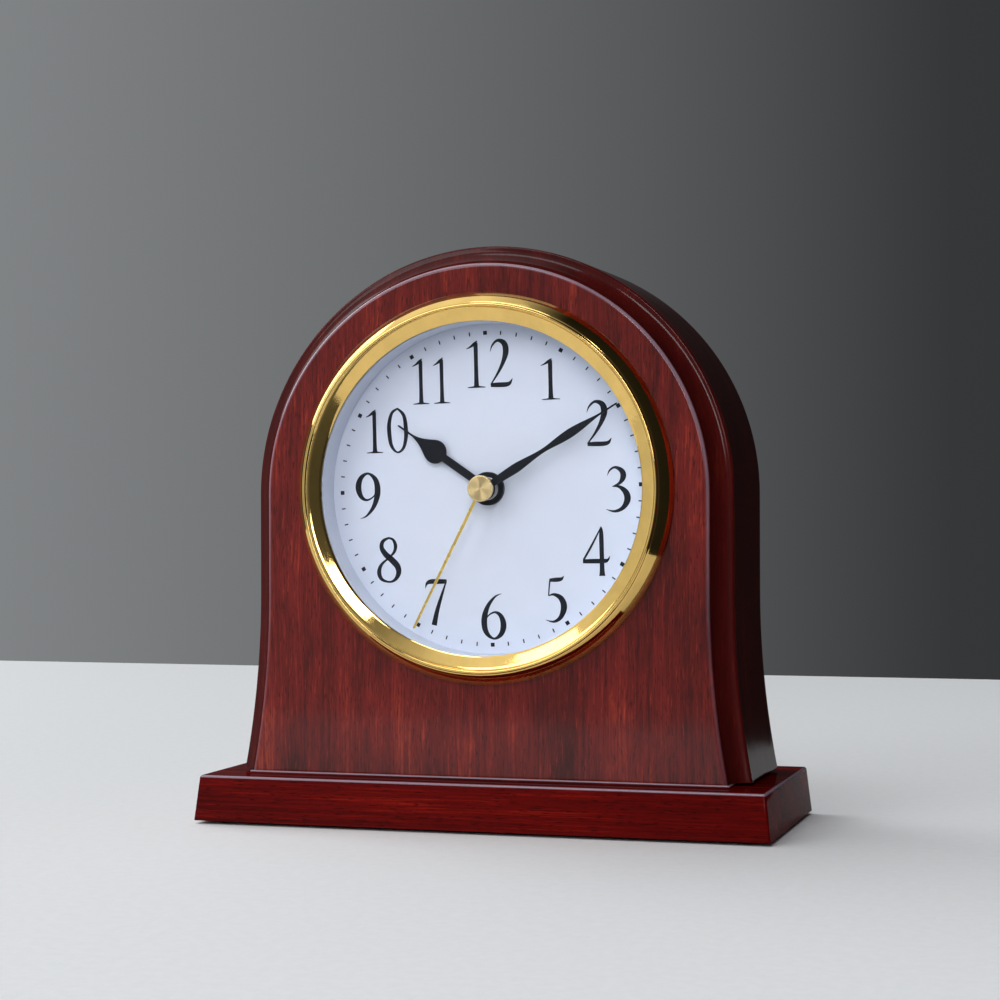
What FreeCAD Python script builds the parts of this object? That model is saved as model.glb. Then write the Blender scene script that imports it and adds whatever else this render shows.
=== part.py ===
"""Arched mantel clock: a wooden case on a plinth, a gilt insert and a quartz movement.

Millimetres. +Z is up, the dial faces -Y, and the origin is the middle of the underside.
Turning parts run about axes along +Y, so a positive turn is clockwise seen from the front.
"""
import FreeCAD, Part
import os
from math import asin, atan2, cos, degrees, hypot, pi, radians, sin, sqrt

V = FreeCAD.Vector
UP, BACKWARD, RIGHT = V(0, 0, 1), V(0, 1, 0), V(1, 0, 0)
HALF_ROOT = sqrt(0.5)
# how far the handles of a curve reach to make it a quarter of an ellipse
QUARTER_PULL = 0.5523

# --- driving dimensions -------------------------------------------------------------
# plinth and what lies over and under it
FELT_THICKNESS = 1.0
FELT_INSET = 4.5
PLINTH_HEIGHT = 13.0
PLINTH_TOP = (165.2, 68.4)
PLINTH_BASE = (168.2, 70.4)
PLINTH_EDGE = 0.7
SEAT_HEIGHT = 0.8
SEAT_PROUD = 0.6
SEAT_SIDE = 0.8
# two bolts from under the plinth into the case
BOLT_X, BOLT_Y = 40.0, 2.0
BOLT_RADIUS, BOLT_HEAD_RADIUS, BOLT_HEAD, BOLT_TIP = 2.0, 4.0, 2.6, 23.0
BOLT_SLOT, BOLT_SLOT_LENGTH, BOLT_SLOT_DEPTH = 1.2, 5.2, 1.2

# case: an arch on sides that flare out towards the plinth
FRONT_Y = -24.1
BACK_Y = 23.7
ARCH_Z = 95.2
ARCH_RADIUS = 70.8
FLARE_TOP_Z = 66.9
FLARE_RADIUS = 276.0
CASE_BOTTOM = FELT_THICKNESS + PLINTH_HEIGHT + SEAT_HEIGHT
WALL = 10.0
PANEL_THICKNESS = 9.0

# the cove round the front panel: a small round, a hollow, and a smaller round
COVE_INNER_ROUND = 1.2
COVE_OUTER_ROUND = 0.8
COVE_WIDTH = 5.45
COVE_DEPTH = 7.2

# rear panel and door
BACK_THICKNESS = 3.5
BACK_REBATE = 5.0
BACK_SCREW_RADIUS, BACK_SCREW_HEAD, BACK_SCREW_TIP = 1.4, 2.6, 12.0
BACK_SCREW_LOW_Z = 40.0
BACK_SCREW_DOME, BACK_SCREW_SLOT = 1.1, 0.7
DOOR_HALF_WIDTH = 39.0
DOOR_LOW, DOOR_HIGH = 46.0, 130.0
DOOR_GAP = 0.6
HINGE_RADIUS = 1.5
HINGE_PIN_RADIUS = 0.7
HINGE_LEAF = 0.7
HINGE_HALF_LENGTH = 7.0
HINGE_HEIGHTS = {"lower": 62.0, "upper": 114.0}
HINGE_LEAF_REACH = 11.0
HINGE_PLAY = 0.1
HINGE_PIN_CAP, HINGE_PIN_CAP_RADIUS = 0.6, 1.15
HINGE_X = -DOOR_HALF_WIDTH + DOOR_GAP / 2
HINGE_Y = BACK_Y + HINGE_RADIUS
HINGE_SCREW_DZ = 4.5
HINGE_SCREW_RADIUS, HINGE_SCREW_HEAD, HINGE_SCREW_REACH = 0.8, 1.5, 7.0
HINGE_SCREW_DOME, HINGE_SCREW_DEPTH = 0.6, 2.6
# the knob of the door as (x, z), and the heights of its foot, neck and head
KNOB_AT = (32.0, 88.0)
KNOB_FOOT, KNOB_NECK, KNOB_HEAD = 3.2, 1.6, 4.0
# the magnet catch: the plate on the door and the block behind the rear panel
CATCH_Z = 60.0
CATCH_PLATE_X, CATCH_PLATE_THICKNESS, CATCH_PLATE_HALF = (33.2, 38.0), 0.8, 3.0
MAGNET_X, MAGNET_DEPTH, MAGNET_HALF, MAGNET_GAP = (33.4, 48.0), 7.0, 5.0, 1.0
MAGNET_FOOT_X = 39.4

# the insert: everything that sits in the round hole of the front panel
DIAL_Z = 96.55
INSERT_TURN = -1.34
HOLE_RADIUS = 50.3
BEZEL_RADIUS = 55.6
CREST_RADIUS = 51.7
CREST_Y = -30.0
LIP_RADIUS = 47.4
LIP_Y = -27.8
# (radius, y) of the bulge of the outer slope and of the two feet of the bead on the crest
BULGE_FOOT, BULGE_MIDDLE = (BEZEL_RADIUS, -25.0), (54.2, -27.45)
BEAD_OUTER, BEAD_INNER, BEAD_STEP = (52.2, -29.5), (51.2, -29.6), (51.05, -29.35)
SKIRT_OUTER, SKIRT_END = 49.8, -21.4
CAN_RADIUS = 48.9
CAN_WALL = 0.8
DIAL_Y = -17.3
DIAL_THICKNESS = 0.8
LENS_FRONT, LENS_BACK = -27.5, -26.5
GASKET_BACK = -26.0
DIAL_RING_RADIUS = 47.2
GRIP_FRONT, GRIP_BACK = -20.6, -17.4
WASHER_RADIUS = 12.0
NUT_RADIUS, NUT_THICKNESS, NUT_SLOT = 4.6, 0.8, 1.0
FIT = 0.1

# hands: the front face of each, and how each is turned at rest, clockwise from 12
HOUR_HAND_Y, MINUTE_HAND_Y, SECONDS_HAND_Y = -19.1, -22.3, -25.2
HOUR_ANGLE, MINUTE_ANGLE, SECONDS_ANGLE = 304.3, 58.6, 206.9
HAND_THICKNESS = 0.4
HOUR_BOSS, HOUR_STEM_HALF, HOUR_PEAR_AT, HOUR_PEAR, HOUR_TIP = 4.65, 1.15, 18.9, 3.4, 32.6
MINUTE_BOSS, MINUTE_COLLET, MINUTE_COLLET_END, MINUTE_TIP = 3.3, 2.4, -20.4, 45.6
SECONDS_BOSS, SECONDS_COLLET, SECONDS_COLLET_END, SECONDS_TIP = 1.5, 1.3, -22.8, 44.6
SECONDS_THICKNESS = 0.3
CAP_RADIUS = 3.75
CAP_FRONT = -26.2
CAP_EDGE = 0.35
# the edges of the hour hand's leaf and of the minute hand, as (distance, half width)
HOUR_LEAF = [
    (19.6, 3.33), (20.6, 3.0), (22, 2.2), (23.5, 1.4), (25, 0.8), (26.5, 0.42), (28, 0.27), (32, 0.26),
]
MINUTE_LEAVES = [
    (2.0, 0.9), (6, 1.18), (10, 1.33), (12, 1.3), (15, 1.0), (18, 0.7), (20.5, 0.6), (23, 0.75),
    (26, 1.08), (29.5, 1.27), (33, 1.05), (36, 0.67), (38.5, 0.37), (40.5, 0.25), (45, 0.22),
]
SECONDS_NEEDLE = [(0, -0.35), (SECONDS_TIP, -0.46), (SECONDS_TIP, 0.46), (0, 0.35)]

# movement case, with its battery bay below the wheels
MOVEMENT_HALF = 28.0
MOVEMENT_FRONT, MOVEMENT_BACK = -15.2, -0.4
MOVEMENT_WALL = 1.2
COVER_THICKNESS = 1.2
BAY_TOP = -10.6
BUSHING_RADIUS = 4.0
MOVEMENT_CORNER = 3.0
SHELF_THICKNESS = 1.0
PLATE_INNER = MOVEMENT_FRONT + MOVEMENT_WALL
BRIDGE_FRONT, BRIDGE_THICKNESS = -2.4, 1.0
BRIDGE_BACK = BRIDGE_FRONT + BRIDGE_THICKNESS
BRIDGE_X, BRIDGE_Z = (-20.0, 16.0), (-9.2, 15.0)
BRIDGE_POSTS = [(-17.5, -6.0), (13.0, -7.0), (14.0, 13.0), (-18.0, 11.0)]
BRIDGE_POST_RADIUS = 1.3
HANGER_RADIUS, HANGER_Z = 2.5, 22.0
RUNNING_GAP = 0.1
# an AA cell: its axis is at this height from the hands' axis and this y
BATTERY_RADIUS, BATTERY_LENGTH, BATTERY_NUB = 7.1, 49.2, 1.2
BATTERY_Z, BATTERY_Y = -18.7, -6.6
BATTERY_X = 0.8
BATTERY_NUB_RADIUS = 2.7
BATTERY_FOOT = BATTERY_X - BATTERY_LENGTH / 2
BATTERY_TOP = BATTERY_X + BATTERY_LENGTH / 2
BAY_END = MOVEMENT_HALF - MOVEMENT_WALL
CONTACT_HALF, CONTACT_SHEET = 5.0, 0.4
SPRING_TURNS, SPRING_RADIUS, SPRING_STRIP, SPRING_SHRINK = 3, 4.4, 0.9, 0.8

# coil, its core and the stator
CORE_Y, CORE_THICKNESS, CORE_WIDTH, CORE_OVERHANG = -7.8, 0.8, 3.2, 4.4
BOBBIN_RADIUS, FLANGE_RADIUS, WINDING_RADIUS, FLANGE = 2.2, 4.2, 3.7, 0.8
COIL_AT = (-2.2, 21.0)
COIL_HALF = 9.2
STATOR_EYE, STATOR_HOLE = 4.0, 2.5
STATOR_LEG_X, STATOR_KNEE_DROP = 3.0, 6.5

# the circuit board as x0, x1, z0, z1 from the hands' axis, and what is on it
BOARD = (16.5, 26.0, -8.0, 17.0)
BOARD_THICKNESS = 1.0
CHIP_AT, CHIP_RADIUS, CHIP_HEIGHT, CHIP_EDGE = (21.2, 8.0), 3.0, 1.2, 0.9
CRYSTAL_AT, CRYSTAL_RADIUS, CRYSTAL_LENGTH = (21.2, -5.5), 1.0, 6.2

# wheels: modules, teeth and the axes of the train, as (x, z) from the hands' axis
SECONDS_MODULE = 0.25
THIRD_MODULE = 0.22
CENTRE_MODULE = THIRD_MODULE * (8 + 64) / (8 + 60)
MOTION_MODULE = 0.4
ROTOR_TEETH, FIFTH_TEETH = 6, 36
FIFTH_PINION, SECONDS_TEETH = 8, 40
SECONDS_PINION, THIRD_TEETH = 8, 64
THIRD_PINION, CENTRE_TEETH = 8, 60
CANNON_TEETH, MINUTE_TEETH = 10, 30
MINUTE_PINION, HOUR_TEETH = 8, 32
SETTING_TEETH = 10
# radii of the nested pipes, each running in the next with a little clearance
SECONDS_ARBOR = 0.6
CENTRE_BORE, CENTRE_PIPE = SECONDS_ARBOR + RUNNING_GAP, 1.8
HOUR_BORE, HOUR_PIPE = CENTRE_PIPE + RUNNING_GAP, 2.7
HOUR_PIPE_PROUD = 0.35
POST_RADIUS = 0.6
PIVOT_RADIUS = 0.4
PIVOT_PLAY = 0.05
PIVOT_DEPTH = 0.6
PIVOT_SHORT = 0.2
FIFTH_BORE = 0.45
FIFTH_POST = FIFTH_BORE - PIVOT_PLAY
HUB_RADIUS, SLEEVE_RADIUS, CANNON_HUB, THIRD_ARBOR = 1.2, 0.75, 1.5, 0.55
ROTOR_MAGNET, ROTOR_FRONT, ROTOR_BACK = 2.1, -9.4, -7.0
WHEEL, PINION = 0.8, 1.2
# teeth as clocks have them, thin enough to run with play: (height over the pitch circle,
# half the thickness there), both in modules
WHEEL_TOOTH = [(-1.25, 0.72), (0.0, 0.60), (0.55, 0.42), (0.9, 0.16)]
PINION_LEAF = [(-1.25, 0.42), (0.0, 0.52), (0.5, 0.36), (0.8, 0.12)]
MOST_LEAVES = 12
# where each wheel lies along Y, from the front plate back
HOUR_LAYER, MOTION_LAYER, CENTRE_LAYER = -13.7, -12.1, -10.0
THIRD_LAYER, SECONDS_LAYER, FIFTH_LAYER = -8.2, -6.4, -4.6
OVERLAP = (PINION - WHEEL) / 2
# the knob that sets the hands
KNOB_FRONT = MOVEMENT_BACK + COVER_THICKNESS + 1.2
KNOB_BACK = KNOB_FRONT + 5.0
KNOB_RADIUS, KNOB_FLUTES, FLUTE_RADIUS, FLUTE_REACH = 5.0, 16, 0.55, 5.2
SHAFT_RADIUS = 1.0


def step(start, distance, angle):
    """The point at a distance and an angle, counter-clockwise from +X, from another."""
    return (start[0] + distance * cos(radians(angle)), start[1] + distance * sin(radians(angle)))


CENTRE = (0.0, 0.0)
THIRD_AT = step(CENTRE, THIRD_MODULE * (SECONDS_PINION + THIRD_TEETH) / 2, 30)
FIFTH_AT = step(CENTRE, SECONDS_MODULE * (FIFTH_PINION + SECONDS_TEETH) / 2, 100)
ROTOR_AT = step(FIFTH_AT, SECONDS_MODULE * (ROTOR_TEETH + FIFTH_TEETH) / 2, 110)
MINUTE_AT = step(CENTRE, MOTION_MODULE * (CANNON_TEETH + MINUTE_TEETH) / 2, 150)
SETTING_AT = step(MINUTE_AT, MOTION_MODULE * (MINUTE_TEETH + SETTING_TEETH) / 2, 200)


# --- shapes -------------------------------------------------------------------------
def box(x0, x1, y0, y1, z0, z1):
    return Part.makeBox(x1 - x0, y1 - y0, z1 - z0, V(x0, y0, z0))


def rod(radius, y0, y1, at=CENTRE, base_z=DIAL_Z):
    """A round bar along Y, from y0 to y1, at (x, z) measured from base_z."""
    return Part.makeCylinder(radius, y1 - y0, V(at[0], y0, base_z + at[1]), BACKWARD)


def tube(inner, outer, y0, y1, at=CENTRE, base_z=DIAL_Z):
    return rod(outer, y0, y1, at, base_z).cut(rod(inner, y0 - 1, y1 + 1, at, base_z))


def post(radius, z0, z1, x, y):
    return Part.makeCylinder(radius, z1 - z0, V(x, y, z0), UP)


def slab(points, y0, y1):
    """A flat plate of the outline given as (x, z) points, from y0 to y1."""
    corners = [V(x, y0, z) for x, z in points]
    return Part.Face(Part.makePolygon(corners + corners[:1])).extrude(BACKWARD * (y1 - y0))


def bar(start, end, width, y0, y1):
    """A flat round-ended bar between two (x, z) points measured from the hands' axis."""
    turn = degrees(atan2(end[1] - start[1], end[0] - start[0]))
    length = hypot(end[0] - start[0], end[1] - start[1])
    middle = box(0, length, y0, y1, -width / 2, width / 2)
    middle.rotate(V(0, 0, 0), BACKWARD, -turn)
    middle.translate(V(start[0], 0, DIAL_Z + start[1]))
    return middle.fuse([rod(width / 2, y0, y1, start), rod(width / 2, y0, y1, end)]).removeSplitter()


def turned(edges):
    """A solid turned about the hands' axis from edges that close in the plane x, y."""
    face = Part.Face(Part.Wire(edges))
    face.translate(V(0, 0, DIAL_Z))
    return face.revolve(V(0, 0, DIAL_Z), BACKWARD, 360)


def lines(*points):
    """Straight edges through points given as (radius, y)."""
    ends = [V(r, y, 0) for r, y in points]
    return [Part.LineSegment(a, b).toShape() for a, b in zip(ends, ends[1:])]


def arc(start, middle, end):
    """An arc through three points given as (radius, y)."""
    return Part.Arc(*[V(r, y, 0) for r, y in (start, middle, end)]).toShape()


def polar(distance, side, angle):
    """The (x, z) point at a distance along a hand and to one side of it."""
    a = radians(angle)
    return (distance * sin(a) + side * cos(a), DIAL_Z + distance * cos(a) - side * sin(a))


# --- case outline -------------------------------------------------------------------
def side_x(inset, z):
    """Half the width of the case at height z, inside its outline by inset."""
    reach = FLARE_RADIUS + inset
    drop = max(FLARE_TOP_Z - z, 0)
    return ARCH_RADIUS + FLARE_RADIUS - sqrt(reach**2 - drop**2)


def flare_edge(inset, bottom, y, sign):
    """The flared part of one side, from the bottom up."""
    middle_z = (bottom + FLARE_TOP_Z) / 2
    heights = (bottom, middle_z, FLARE_TOP_Z)
    return Part.Arc(*[V(sign * side_x(inset, z), y, z) for z in heights]).toShape()


def outline_edges(inset, bottom, y):
    """The outline from the bottom left, over the arch, to the bottom right."""
    r = ARCH_RADIUS - inset
    left, right = flare_edge(inset, bottom, y, -1), flare_edge(inset, bottom, y, 1)
    arch = Part.Arc(V(-r, y, ARCH_Z), V(0, y, ARCH_Z + r), V(r, y, ARCH_Z)).toShape()
    return [
        left,
        Part.LineSegment(V(-r, y, FLARE_TOP_Z), V(-r, y, ARCH_Z)).toShape(),
        arch,
        Part.LineSegment(V(r, y, ARCH_Z), V(r, y, FLARE_TOP_Z)).toShape(),
        right,
    ]


def arched(inset, y0, y1, bottom=CASE_BOTTOM):
    """A block of the case's outline, inside it by inset, from y0 to y1."""
    x = side_x(inset, bottom)
    floor = Part.LineSegment(V(x, y0, bottom), V(-x, y0, bottom)).toShape()
    wire = Part.Wire([*outline_edges(inset, bottom, y0), floor])
    return Part.Face(wire).extrude(BACKWARD * (y1 - y0))


def cove_waste():
    """What the router takes off the edge of the front panel, all round its outline."""
    low = CASE_BOTTOM - 2
    start_x = side_x(0, low)
    inner, outer = COVE_INNER_ROUND, COVE_OUTER_ROUND
    top, foot = COVE_WIDTH + inner, COVE_DEPTH + outer

    def at(inset, depth):
        return V(-start_x + inset, FRONT_Y + depth, low)

    def line(start, end):
        return Part.LineSegment(at(*start), at(*end)).toShape()

    inner_middle = at(top - inner * HALF_ROOT, inner * (1 - HALF_ROOT))
    outer_middle = at(outer * (1 - HALF_ROOT), foot - outer * HALF_ROOT)
    hollow = Part.BezierCurve()
    hollow.setPoles([
        at(COVE_WIDTH, inner),
        at(COVE_WIDTH, inner + QUARTER_PULL * (COVE_DEPTH - inner)),
        at(outer + QUARTER_PULL * (COVE_WIDTH - outer), COVE_DEPTH),
        at(outer, COVE_DEPTH),
    ])
    edges = [
        Part.Arc(at(top, 0), inner_middle, at(COVE_WIDTH, inner)).toShape(),
        hollow.toShape(),
        Part.Arc(at(outer, COVE_DEPTH), outer_middle, at(0, foot)).toShape(),
        line((0, foot), (-2, foot)),
        line((-2, foot), (-2, -1)),
        line((-2, -1), (top, -1)),
        line((top, -1), (top, 0)),
    ]
    path = Part.Wire(outline_edges(0, low, FRONT_Y))
    return path.makePipeShell([Part.Wire(edges)], True, True)


# --- wooden parts -------------------------------------------------------------------
def plinth():
    """One board with four sloping sides, its upper edges and corners eased."""
    (x0, y0), (x1, y1) = [(width / 2, depth / 2) for width, depth in (PLINTH_BASE, PLINTH_TOP)]
    block = Part.makeWedge(-x0, 0, -y0, -y1, -x1, x0, PLINTH_HEIGHT, y0, y1, x1)
    block.rotate(V(0, 0, 0), RIGHT, 90)
    block.translate(V(0, 0, FELT_THICKNESS))
    upper = [e for e in block.Edges if e.BoundBox.ZMax > FELT_THICKNESS + 1]
    block = block.makeFillet(PLINTH_EDGE, upper)
    for x in (-BOLT_X, BOLT_X):
        block = block.cut(post(BOLT_RADIUS, 0, 30, x, BOLT_Y))
        block = block.cut(post(BOLT_HEAD_RADIUS, 0, FELT_THICKNESS + BOLT_HEAD, x, BOLT_Y))
    return block


def case_bolt(x):
    head = post(BOLT_HEAD_RADIUS, FELT_THICKNESS, FELT_THICKNESS + BOLT_HEAD, x, BOLT_Y)
    half, reach = BOLT_SLOT / 2, BOLT_SLOT_LENGTH / 2
    recess = box(x - half, x + half, BOLT_Y - reach, BOLT_Y + reach, 0, FELT_THICKNESS + BOLT_SLOT_DEPTH)
    shank = post(BOLT_RADIUS, FELT_THICKNESS + BOLT_HEAD, BOLT_TIP, x, BOLT_Y)
    return head.fuse(shank).cut(recess)


def felt_pad():
    x, y = PLINTH_BASE[0] / 2 - FELT_INSET, PLINTH_BASE[1] / 2 - FELT_INSET
    pad = box(-x, x, -y, y, 0, FELT_THICKNESS)
    return pad.makeFillet(3.0, [e for e in pad.Edges if e.BoundBox.ZLength > 0.5])


def seat_plate():
    x = side_x(COVE_WIDTH, CASE_BOTTOM) + SEAT_SIDE
    z0 = FELT_THICKNESS + PLINTH_HEIGHT
    plate = box(-x, x, FRONT_Y - SEAT_PROUD, BACK_Y - 1, z0, CASE_BOTTOM)
    upper = [e for e in plate.Edges if e.BoundBox.ZMin > CASE_BOTTOM - 0.01]
    rim = [e for e in upper if e.BoundBox.YMax < FRONT_Y]
    plate = plate.makeFillet(SEAT_PROUD * 0.9, rim)
    for bolt_x in (-BOLT_X, BOLT_X):
        plate = plate.cut(post(BOLT_RADIUS, 0, 30, bolt_x, BOLT_Y))
    return plate


def front_panel():
    panel = arched(0, FRONT_Y, FRONT_Y + PANEL_THICKNESS)
    panel = panel.cut(cove_waste())
    return panel.cut(rod(HOLE_RADIUS, FRONT_Y - 1, FRONT_Y + PANEL_THICKNESS + 1))


def case_shell():
    front = FRONT_Y + PANEL_THICKNESS
    shell = arched(0, front, BACK_Y)
    shell = shell.cut(arched(WALL, front - 1, BACK_Y + 1, CASE_BOTTOM + WALL))
    shell = shell.cut(arched(BACK_REBATE, BACK_Y - BACK_THICKNESS, BACK_Y + 1, CASE_BOTTOM + BACK_REBATE))
    for x in (-BOLT_X, BOLT_X):
        shell = shell.cut(post(BOLT_RADIUS, 0, 30, x, BOLT_Y))
    for at in BACK_SCREWS.values():
        shell = shell.cut(rod(BACK_SCREW_RADIUS, BACK_SCREW_TIP, BACK_Y + 1, at, 0))
    return shell


def back_screw_places():
    """Four screws, half-way across the shoulder that the rear panel rests on."""
    inset = (WALL + BACK_REBATE) / 2
    arch = (ARCH_RADIUS - inset) * HALF_ROOT
    low_x = side_x(inset, BACK_SCREW_LOW_Z)
    return {
        "low_left": (-low_x, BACK_SCREW_LOW_Z),
        "low_right": (low_x, BACK_SCREW_LOW_Z),
        "high_left": (-arch, ARCH_Z + arch),
        "high_right": (arch, ARCH_Z + arch),
    }


BACK_SCREWS = back_screw_places()


def back_screw(at):
    head = rod(BACK_SCREW_HEAD, BACK_Y, BACK_Y + BACK_SCREW_DOME, at, 0)
    head = head.makeFillet(0.6, [e for e in head.Edges if e.BoundBox.YMin > BACK_Y + 1])
    half = BACK_SCREW_SLOT / 2
    slot = box(at[0] - 3, at[0] + 3, BACK_Y + 0.5, BACK_Y + 2, at[1] - half, at[1] + half)
    return head.fuse(rod(BACK_SCREW_RADIUS, BACK_SCREW_TIP, BACK_Y, at, 0)).cut(slot)


def back_panel():
    front = BACK_Y - BACK_THICKNESS
    panel = arched(BACK_REBATE, front, BACK_Y, CASE_BOTTOM + BACK_REBATE)
    panel = panel.cut(box(-DOOR_HALF_WIDTH, DOOR_HALF_WIDTH, front - 1, BACK_Y + 1, DOOR_LOW, DOOR_HIGH))
    for at in BACK_SCREWS.values():
        panel = panel.cut(rod(BACK_SCREW_RADIUS, front - 1, BACK_Y + 1, at, 0))
    for at in hinge_screw_places(-1):
        panel = panel.cut(rod(HINGE_SCREW_RADIUS, front - 1, BACK_Y + 1, at, 0))
    return panel


# --- rear door and its hinges -------------------------------------------------------
def hinge_screw_places(side):
    """The screws of the leaves on one side of the hinge line: -1 panel, 1 door."""
    x = HINGE_X + side * HINGE_SCREW_REACH
    return [(x, z + dz) for z in HINGE_HEIGHTS.values() for dz in (-HINGE_SCREW_DZ, HINGE_SCREW_DZ)]


def hinge_screws(side):
    """Four small round-headed screws, through both leaves of one side."""
    face = BACK_Y + HINGE_LEAF
    screws = []
    for at in hinge_screw_places(side):
        head = rod(HINGE_SCREW_HEAD, face, face + HINGE_SCREW_DOME, at, 0)
        shank = rod(HINGE_SCREW_RADIUS, face - HINGE_SCREW_DEPTH, face, at, 0)
        slot = box(at[0] - 2, at[0] + 2, face + 0.3, face + 1, at[1] - 0.2, at[1] + 0.2)
        screws.append(head.fuse(shank).cut(slot))
    return Part.makeCompound(screws)


def hinge_leaf(z, side):
    """One leaf of a butt hinge. The panel's leaf has the two outer knuckles."""
    whole, middle = HINGE_HALF_LENGTH, HINGE_HALF_LENGTH / 3
    spans = [(-middle, middle)] if side > 0 else [(-whole, -middle), (middle, whole)]
    near = HINGE_RADIUS + 0.2
    ends = sorted((HINGE_X + side * near, HINGE_X + side * HINGE_LEAF_REACH))
    face = BACK_Y + HINGE_LEAF
    leaf = box(ends[0], ends[1], BACK_Y, face, z - HINGE_HALF_LENGTH, z + HINGE_HALF_LENGTH)
    bore = HINGE_PIN_RADIUS + (0.05 if side > 0 else 0)
    for start, end in spans:
        low, high = z + start + HINGE_PLAY, z + end - HINGE_PLAY
        tongue = sorted((HINGE_X, HINGE_X + side * near))
        leaf = leaf.fuse([
            post(HINGE_RADIUS, low, high, HINGE_X, HINGE_Y),
            box(tongue[0], tongue[1], BACK_Y, face, low, high),
        ])
    leaf = leaf.cut(post(bore, z - 20, z + 20, HINGE_X, HINGE_Y))
    for at in hinge_screw_places(side):
        leaf = leaf.cut(rod(HINGE_SCREW_RADIUS, BACK_Y - 1, face + 1, at, 0))
    return leaf.removeSplitter()


def hinge_pin(z):
    reach = HINGE_HALF_LENGTH - HINGE_PLAY
    end, radius = reach + HINGE_PIN_CAP, HINGE_PIN_CAP_RADIUS
    pin = post(HINGE_PIN_RADIUS, z - reach, z + reach, HINGE_X, HINGE_Y)
    caps = [
        post(radius, z + reach, z + end, HINGE_X, HINGE_Y),
        post(radius, z - end, z - reach, HINGE_X, HINGE_Y),
    ]
    return pin.fuse(caps)


def rear_door():
    x = DOOR_HALF_WIDTH - DOOR_GAP
    front = BACK_Y - BACK_THICKNESS
    door = box(-x, x, front, BACK_Y, DOOR_LOW + DOOR_GAP, DOOR_HIGH - DOOR_GAP)
    for at in hinge_screw_places(1):
        door = door.cut(rod(HINGE_SCREW_RADIUS, front - 1, BACK_Y + 1, at, 0))
    return door


def door_knob():
    """A turned knob: a foot, a neck and a rounded head."""
    foot, neck = KNOB_FOOT, KNOB_NECK
    profile = lines((0, 0), (foot, 0), (foot, 0.8), (neck, 1.4), (neck, 3.6))
    profile += [arc((neck, 3.6), (KNOB_HEAD, 6.0), (neck + 0.2, 8.0))]
    profile += lines((neck + 0.2, 8.0), (0, 8.0), (0, 0))
    knob = Part.Face(Part.Wire(profile)).revolve(V(0, 0, 0), BACKWARD, 360)
    knob.translate(V(KNOB_AT[0], BACK_Y, KNOB_AT[1]))
    return knob


def catch_plate():
    """A steel plate on the inner face of the door, for the magnet."""
    back = BACK_Y - BACK_THICKNESS
    x0, x1 = CATCH_PLATE_X
    half = CATCH_PLATE_HALF
    return box(x0, x1, back - CATCH_PLATE_THICKNESS, back, CATCH_Z - half, CATCH_Z + half)


def magnet_block():
    """The catch, fixed behind the rear panel and reaching over the edge of the opening."""
    back = BACK_Y - BACK_THICKNESS
    x0, x1 = MAGNET_X
    z0, z1 = CATCH_Z - MAGNET_HALF, CATCH_Z + MAGNET_HALF
    body = box(x0, x1, back - MAGNET_DEPTH, back - MAGNET_GAP, z0, z1)
    return body.fuse(box(MAGNET_FOOT_X, x1, back - MAGNET_GAP, back, z0, z1)).removeSplitter()


# --- the insert ---------------------------------------------------------------------
def bezel():
    """A ring with a bulged outer slope, a bead on its crest and a flat slope to the lip."""
    profile = [
        *lines((BEZEL_RADIUS, FRONT_Y), BULGE_FOOT),
        arc(BULGE_FOOT, BULGE_MIDDLE, BEAD_OUTER),
        arc(BEAD_OUTER, (CREST_RADIUS, CREST_Y), BEAD_INNER),
        *lines(
            BEAD_INNER,
            BEAD_STEP,
            (LIP_RADIUS, LIP_Y),
            (LIP_RADIUS, LENS_FRONT),
            (CAN_RADIUS, LENS_FRONT),
            (CAN_RADIUS, SKIRT_END),
            (SKIRT_OUTER, SKIRT_END),
            (SKIRT_OUTER, FRONT_Y),
            (BEZEL_RADIUS, FRONT_Y),
        ),
    ]
    return turned(profile)


def lens():
    return rod(CAN_RADIUS - FIT, LENS_FRONT, LENS_BACK)


def lens_gasket():
    return tube(LIP_RADIUS + 0.3, CAN_RADIUS - FIT, LENS_BACK, GASKET_BACK)


def dial_ring():
    """The white wall between the glass and the dial."""
    return tube(DIAL_RING_RADIUS, CAN_RADIUS - CAN_WALL - FIT / 2, GASKET_BACK, DIAL_Y)


def dial():
    return tube(BUSHING_RADIUS + FIT, CAN_RADIUS - CAN_WALL - FIT / 2, DIAL_Y, DIAL_Y + DIAL_THICKNESS)


def dial_can():
    floor = DIAL_Y + DIAL_THICKNESS
    cup = rod(CAN_RADIUS, GASKET_BACK, floor + CAN_WALL)
    cup = cup.cut(rod(CAN_RADIUS - CAN_WALL, GASKET_BACK - 1, floor))
    return cup.cut(rod(BUSHING_RADIUS + FIT, floor - 1, floor + 2))


def grip_ring():
    return tube(CAN_RADIUS, HOLE_RADIUS, GRIP_FRONT, GRIP_BACK)


def movement_washer():
    front = DIAL_Y + DIAL_THICKNESS + CAN_WALL
    return tube(BUSHING_RADIUS + FIT, WASHER_RADIUS, front, MOVEMENT_FRONT)


def fixing_nut():
    """A thin round nut with two notches, hidden by the hour hand's boss."""
    nut = tube(BUSHING_RADIUS, NUT_RADIUS, DIAL_Y - NUT_THICKNESS, DIAL_Y)
    half = NUT_SLOT / 2
    return nut.cut(box(-6, 6, DIAL_Y - 2, DIAL_Y - 0.3, DIAL_Z - half, DIAL_Z + half))


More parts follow.
